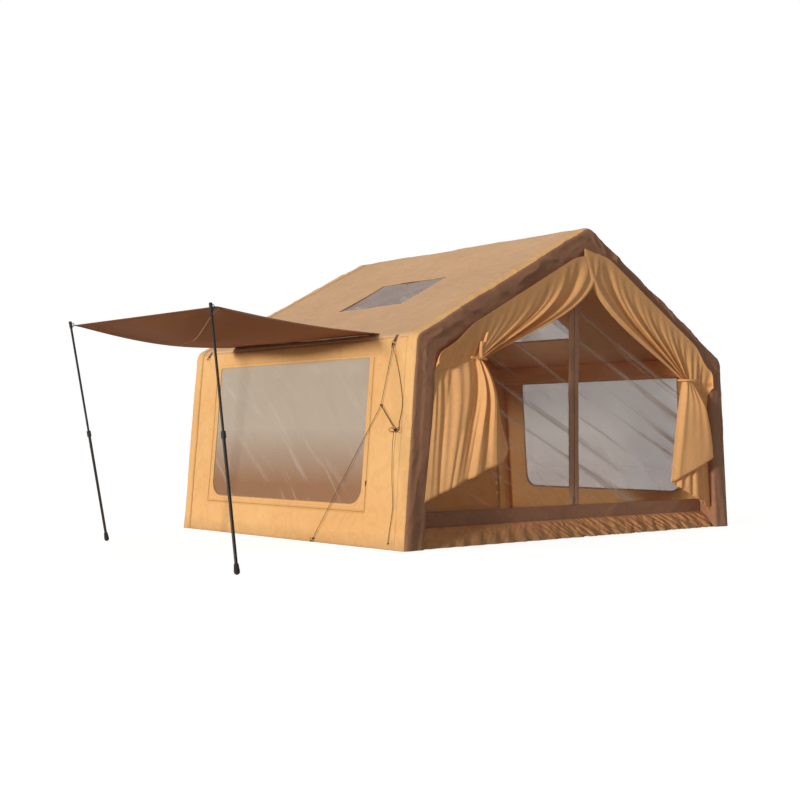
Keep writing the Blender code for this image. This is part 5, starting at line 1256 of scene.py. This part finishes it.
def make_ropes():
    matrix = bend_frame(-1.0, CORNER_TAB_ALONG)
    wire = Vector((0.0, -RING_DROP - 2 * GUY_RING_RADIUS, RING_STAND_OFF))
    apart = Vector((ROPE_LAYER, 0.0, 0.0))
    first, second = [[matrix @ point for point in hairpin(wire + shift, -TO_FRONT, UP, GUY_RING_WIRE + ROPE_LAYER)]
                     for shift in (-apart, apart)]
    elbow = on_wall(ELBOW_ALONG, ELBOW_HEIGHT, ELBOW_SEAT)

    peg_height = PEG_LOOP_WIRE + 3 * ROPE_RADIUS
    centre = on_wall(PEG_LOOP_ALONG, peg_height, 0.3 * PEG_LOOP_WIRE + GAP)
    loop = [centre + Vector((-math.sin(math.pi * a), math.cos(math.pi * a), 0.0)) * PEG_LOOP_RADIUS
            for a in shares(16)]
    finish_piece("peg_loop_webbing", tube_mesh(loop, PEG_LOOP_WIRE), M_WEBBING, "webbing", "guy_peg_loop")

    foot = hairpin(centre - LEVEL * PEG_LOOP_RADIUS, -UP, LEVEL, PEG_LOOP_WIRE + ROPE_LAYER)
    line = [first[0] + (elbow - first[0]).normalized() * ROPE_TAIL] + first
    line += [first[-1].lerp(elbow, k) for k in (0.25, 0.5, 0.75, 0.96)] + [elbow]
    line += [elbow.lerp(foot[0], k) for k in (0.04, 0.25, 0.5, 0.75)] + foot + [foot[-1] + UP * ROPE_TAIL]
    finish_piece("guy_line", tube_mesh(line, ROPE_RADIUS), M_ROPE, "rope", "guy_rope")

    knot = on_wall(KNOT_ALONG, KNOT_HEIGHT, ROPE_SEAT)
    toward = (elbow - knot).normalized()
    wall = (SECTION[1][0] - SECTION[0][0]).normalized()
    outward = Vector((-wall.y, 0.0, -wall.x))
    beside = toward.cross(outward).normalized() * STRANDS_APART
    bight = hairpin(elbow + outward * ROPE_RADIUS, toward, outward, BIGHT_RADIUS)
    bight = [p + beside * (1.0 - 2.0 * share) for p, share in zip(bight, shares(12))]
    points = [second[6] - matrix.to_3x3() @ Vector((0.0, 0.012, 0.0))]
    points += [on_wall(a, z, ROPE_SEAT) for a, z in STRAND_PLACES]
    points += [knot + beside, bight[0] - toward * ROPE_TAIL] + bight[::3]
    points += [bight[-1] - toward * ROPE_TAIL, knot - beside + outward * STRANDS_APART]
    points += [on_wall(KNOT_ALONG + across * BOW_WIDTH / 2, KNOT_HEIGHT + rise * BOW_HEIGHT,
                       2 * ROPE_SEAT + i * ROPE_LAYER) for i, (across, rise) in enumerate(BOW_SHARES)]
    points += [on_wall(KNOT_ALONG + across * BOW_WIDTH, KNOT_HEIGHT * share,
                       ROPE_SEAT * (1.0 + 2.0 * smooth(share - 0.1))) for across, share in TAIL_SHARES]
    route = smooth_route(points, 6)
    piece = finish_piece("spare_line", tube_mesh(route, ROPE_RADIUS), M_ROPE, "rope", "spare_rope")

    wraps = (("knot_ring", coil(points[0] + UP * 0.002, UP, 0.0048, 0.0042, 3)),
             ("knot_loop", second + [points[0]]),
             ("knot_elbow", coil(elbow, (elbow - first[-1]).normalized(), 0.0050, 0.0042, 2)),
             ("knot_bow", coil(knot + outward * 0.010, outward, 0.0075, 0.0045, 3)),
             ("knot_tail", coil(route[-1] + UP * 0.004, UP, 0.0042, 0.0040, 2)),
             ("knot_peg", coil(foot[0].lerp(elbow, 0.02), (elbow - foot[0]).normalized(), 0.0050, 0.0042, 3)))
    knots = [finish_piece(name, tube_mesh(turns, ROPE_RADIUS, 8), M_ROPE, "rope") for name, turns in wraps]
    length = sum((b - a).length for a, b in zip(route, route[1:]))
    tuple(route[0])
    [tuple(p) for p in route]


for SIDE, MIRROR in (("left", -1.0), ("right", 1.0)):
    make_walls(SIDE, MIRROR)
    make_roof(SIDE, MIRROR)
make_sleeves()
make_air_tubes()
make_rear_wall()
make_front_band()
make_leaf("left", -1.0)
make_leaf("right", 1.0)
make_curtain("left", -1.0, LEFT_TIE, LEFT_HEM)
make_flap(make_curtain("right", 1.0, RIGHT_TIE, RIGHT_HEM))
make_petals()
make_awning()
pole_strap("near_pole_strap", OUTER_NEAR, OUTER_BACK, awning_base(0.0, STRAP_ROW))
pole_strap("back_pole_strap", OUTER_BACK, OUTER_NEAR, awning_base(1.0, STRAP_ROW))
make_tabs()
make_ropes()

# Looks of the frame's own pieces

# The trim look is the sand cloth darkened as painted shade
LOOKS = {
    "beam_sleeve": M_INSIDE, "shell_cloth": M_SHELL, "clear_film": M_FILM, "curtain_cloth": M_CURTAIN,
    "awning_cloth": M_AWNING, "trim_cloth": M_TRIM_PAINTED_SHADE, "webbing": M_WEBBING, "rope": M_ROPE, "zip_tape": M_ZIP,
    "slider_metal": M_METAL, "ring_metal": M_METAL, "pole_tube": M_POLE, "pole_fitting": M_FITTING,
    "pole_rubber": M_RUBBER, "valve_plastic": M_VALVE,
}
for part in frame["record"]["subparts"]:
    node = frame["nodes"][part["node"]]
    node.data.materials.clear()
    node.data.materials.append(LOOKS[part["material_slot"]])

# Floor, light and camera

FLOOR_SIZE, FLOOR_DROP, FLOOR_GLOW = 60.0, 0.002, 0.82
WORLD_FILL, WORLD_SEEN = 0.31, 1.0
SUN_STRENGTH, SUN_ANGLE = 2.5, math.radians(6)
SUN_WAY = Vector((1.0, 0.15, -0.08))
CAMERA_PLACE = at(-7.390, FRONT_FACE - 5.947, 0.7588)
CAMERA_YAW, CAMERA_PITCH, CAMERA_ROLL = [math.radians(a) for a in (41.979, 1.993, 0.299)]
CAMERA_LENS = 52.72


def make_floor():
    """A pale floor that takes the tent's shadow, and looks white to the camera and in reflections."""
    size = FLOOR_SIZE
    mesh = new_mesh([(-size, -size, 0.0), (size, -size, 0.0), (size, size, 0.0), (-size, size, 0.0)],
                    [(0, 1, 2, 3)])
    floor = show("floor", mesh)
    floor.location.z = -FLOOR_DROP
    n = Nodes("floor")
    n.tree.nodes.remove(n.shader)
    rays = n.add("ShaderNodeLightPath").outputs
    seen = n.math("MAXIMUM", rays["Is Camera Ray"],
                  n.math("MAXIMUM", rays["Is Glossy Ray"], rays["Is Transmission Ray"]))
    diffuse = n.add("ShaderNodeBsdfDiffuse", in_Color=(0.62, 0.61, 0.60, 1.0))
    glow = n.add("ShaderNodeEmission", in_Color=(1.0, 1.0, 1.0, 1.0),
                 in_Strength=n.math("MULTIPLY", seen, FLOOR_GLOW))
    n.show(n.add("ShaderNodeAddShader", in_0=diffuse.outputs[0], in_1=glow.outputs[0]))
    mesh.materials.append(n.material)


def make_world():
    """White all round, dimmer as a light than it is to the camera."""
    world = bpy.data.worlds.new("studio")
    bpy.context.scene.world = world
    world.use_nodes = True
    tree = world.node_tree
    background = tree.nodes["Background"]
    background.inputs["Color"].default_value = (1.0, 1.0, 1.0, 1.0)
    path = tree.nodes.new("ShaderNodeLightPath")
    level = tree.nodes.new("ShaderNodeMapRange")
    level.inputs["To Min"].default_value = WORLD_FILL
    level.inputs["To Max"].default_value = WORLD_SEEN
    top = tree.nodes.new("ShaderNodeMath")
    top.operation = "MAXIMUM"
    tree.links.new(path.outputs["Is Camera Ray"], top.inputs[0])
    tree.links.new(path.outputs["Is Transmission Ray"], top.inputs[1])
    tree.links.new(top.outputs[0], level.inputs["Value"])
    tree.links.new(level.outputs["Result"], background.inputs["Strength"])


def make_lights():
    key = bpy.data.lights.new("key", "SUN")
    key.energy, key.angle, key.color = SUN_STRENGTH, SUN_ANGLE, (1.0, 0.97, 0.92)
    show("key", key).rotation_euler = SUN_WAY.to_track_quat("-Z", "Y").to_euler()


def make_camera():
    data = bpy.data.cameras.new("camera")
    data.lens, data.sensor_width, data.clip_end = CAMERA_LENS, 36.0, 200.0
    camera = show("camera", data)
    ahead = Vector((math.sin(CAMERA_YAW) * math.cos(CAMERA_PITCH),
                    math.cos(CAMERA_YAW) * math.cos(CAMERA_PITCH), math.sin(CAMERA_PITCH)))
    right = Vector((math.cos(CAMERA_YAW), -math.sin(CAMERA_YAW), 0.0))
    up = right.cross(ahead)
    c, s = math.cos(CAMERA_ROLL), math.sin(CAMERA_ROLL)
    camera.matrix_world = frame_matrix(CAMERA_PLACE, right * c + up * s, up * c - right * s, -ahead)
    bpy.context.scene.camera = camera


make_floor()
make_world()
make_lights()
make_camera()
bpy.context.scene.view_settings.view_transform = "Standard"
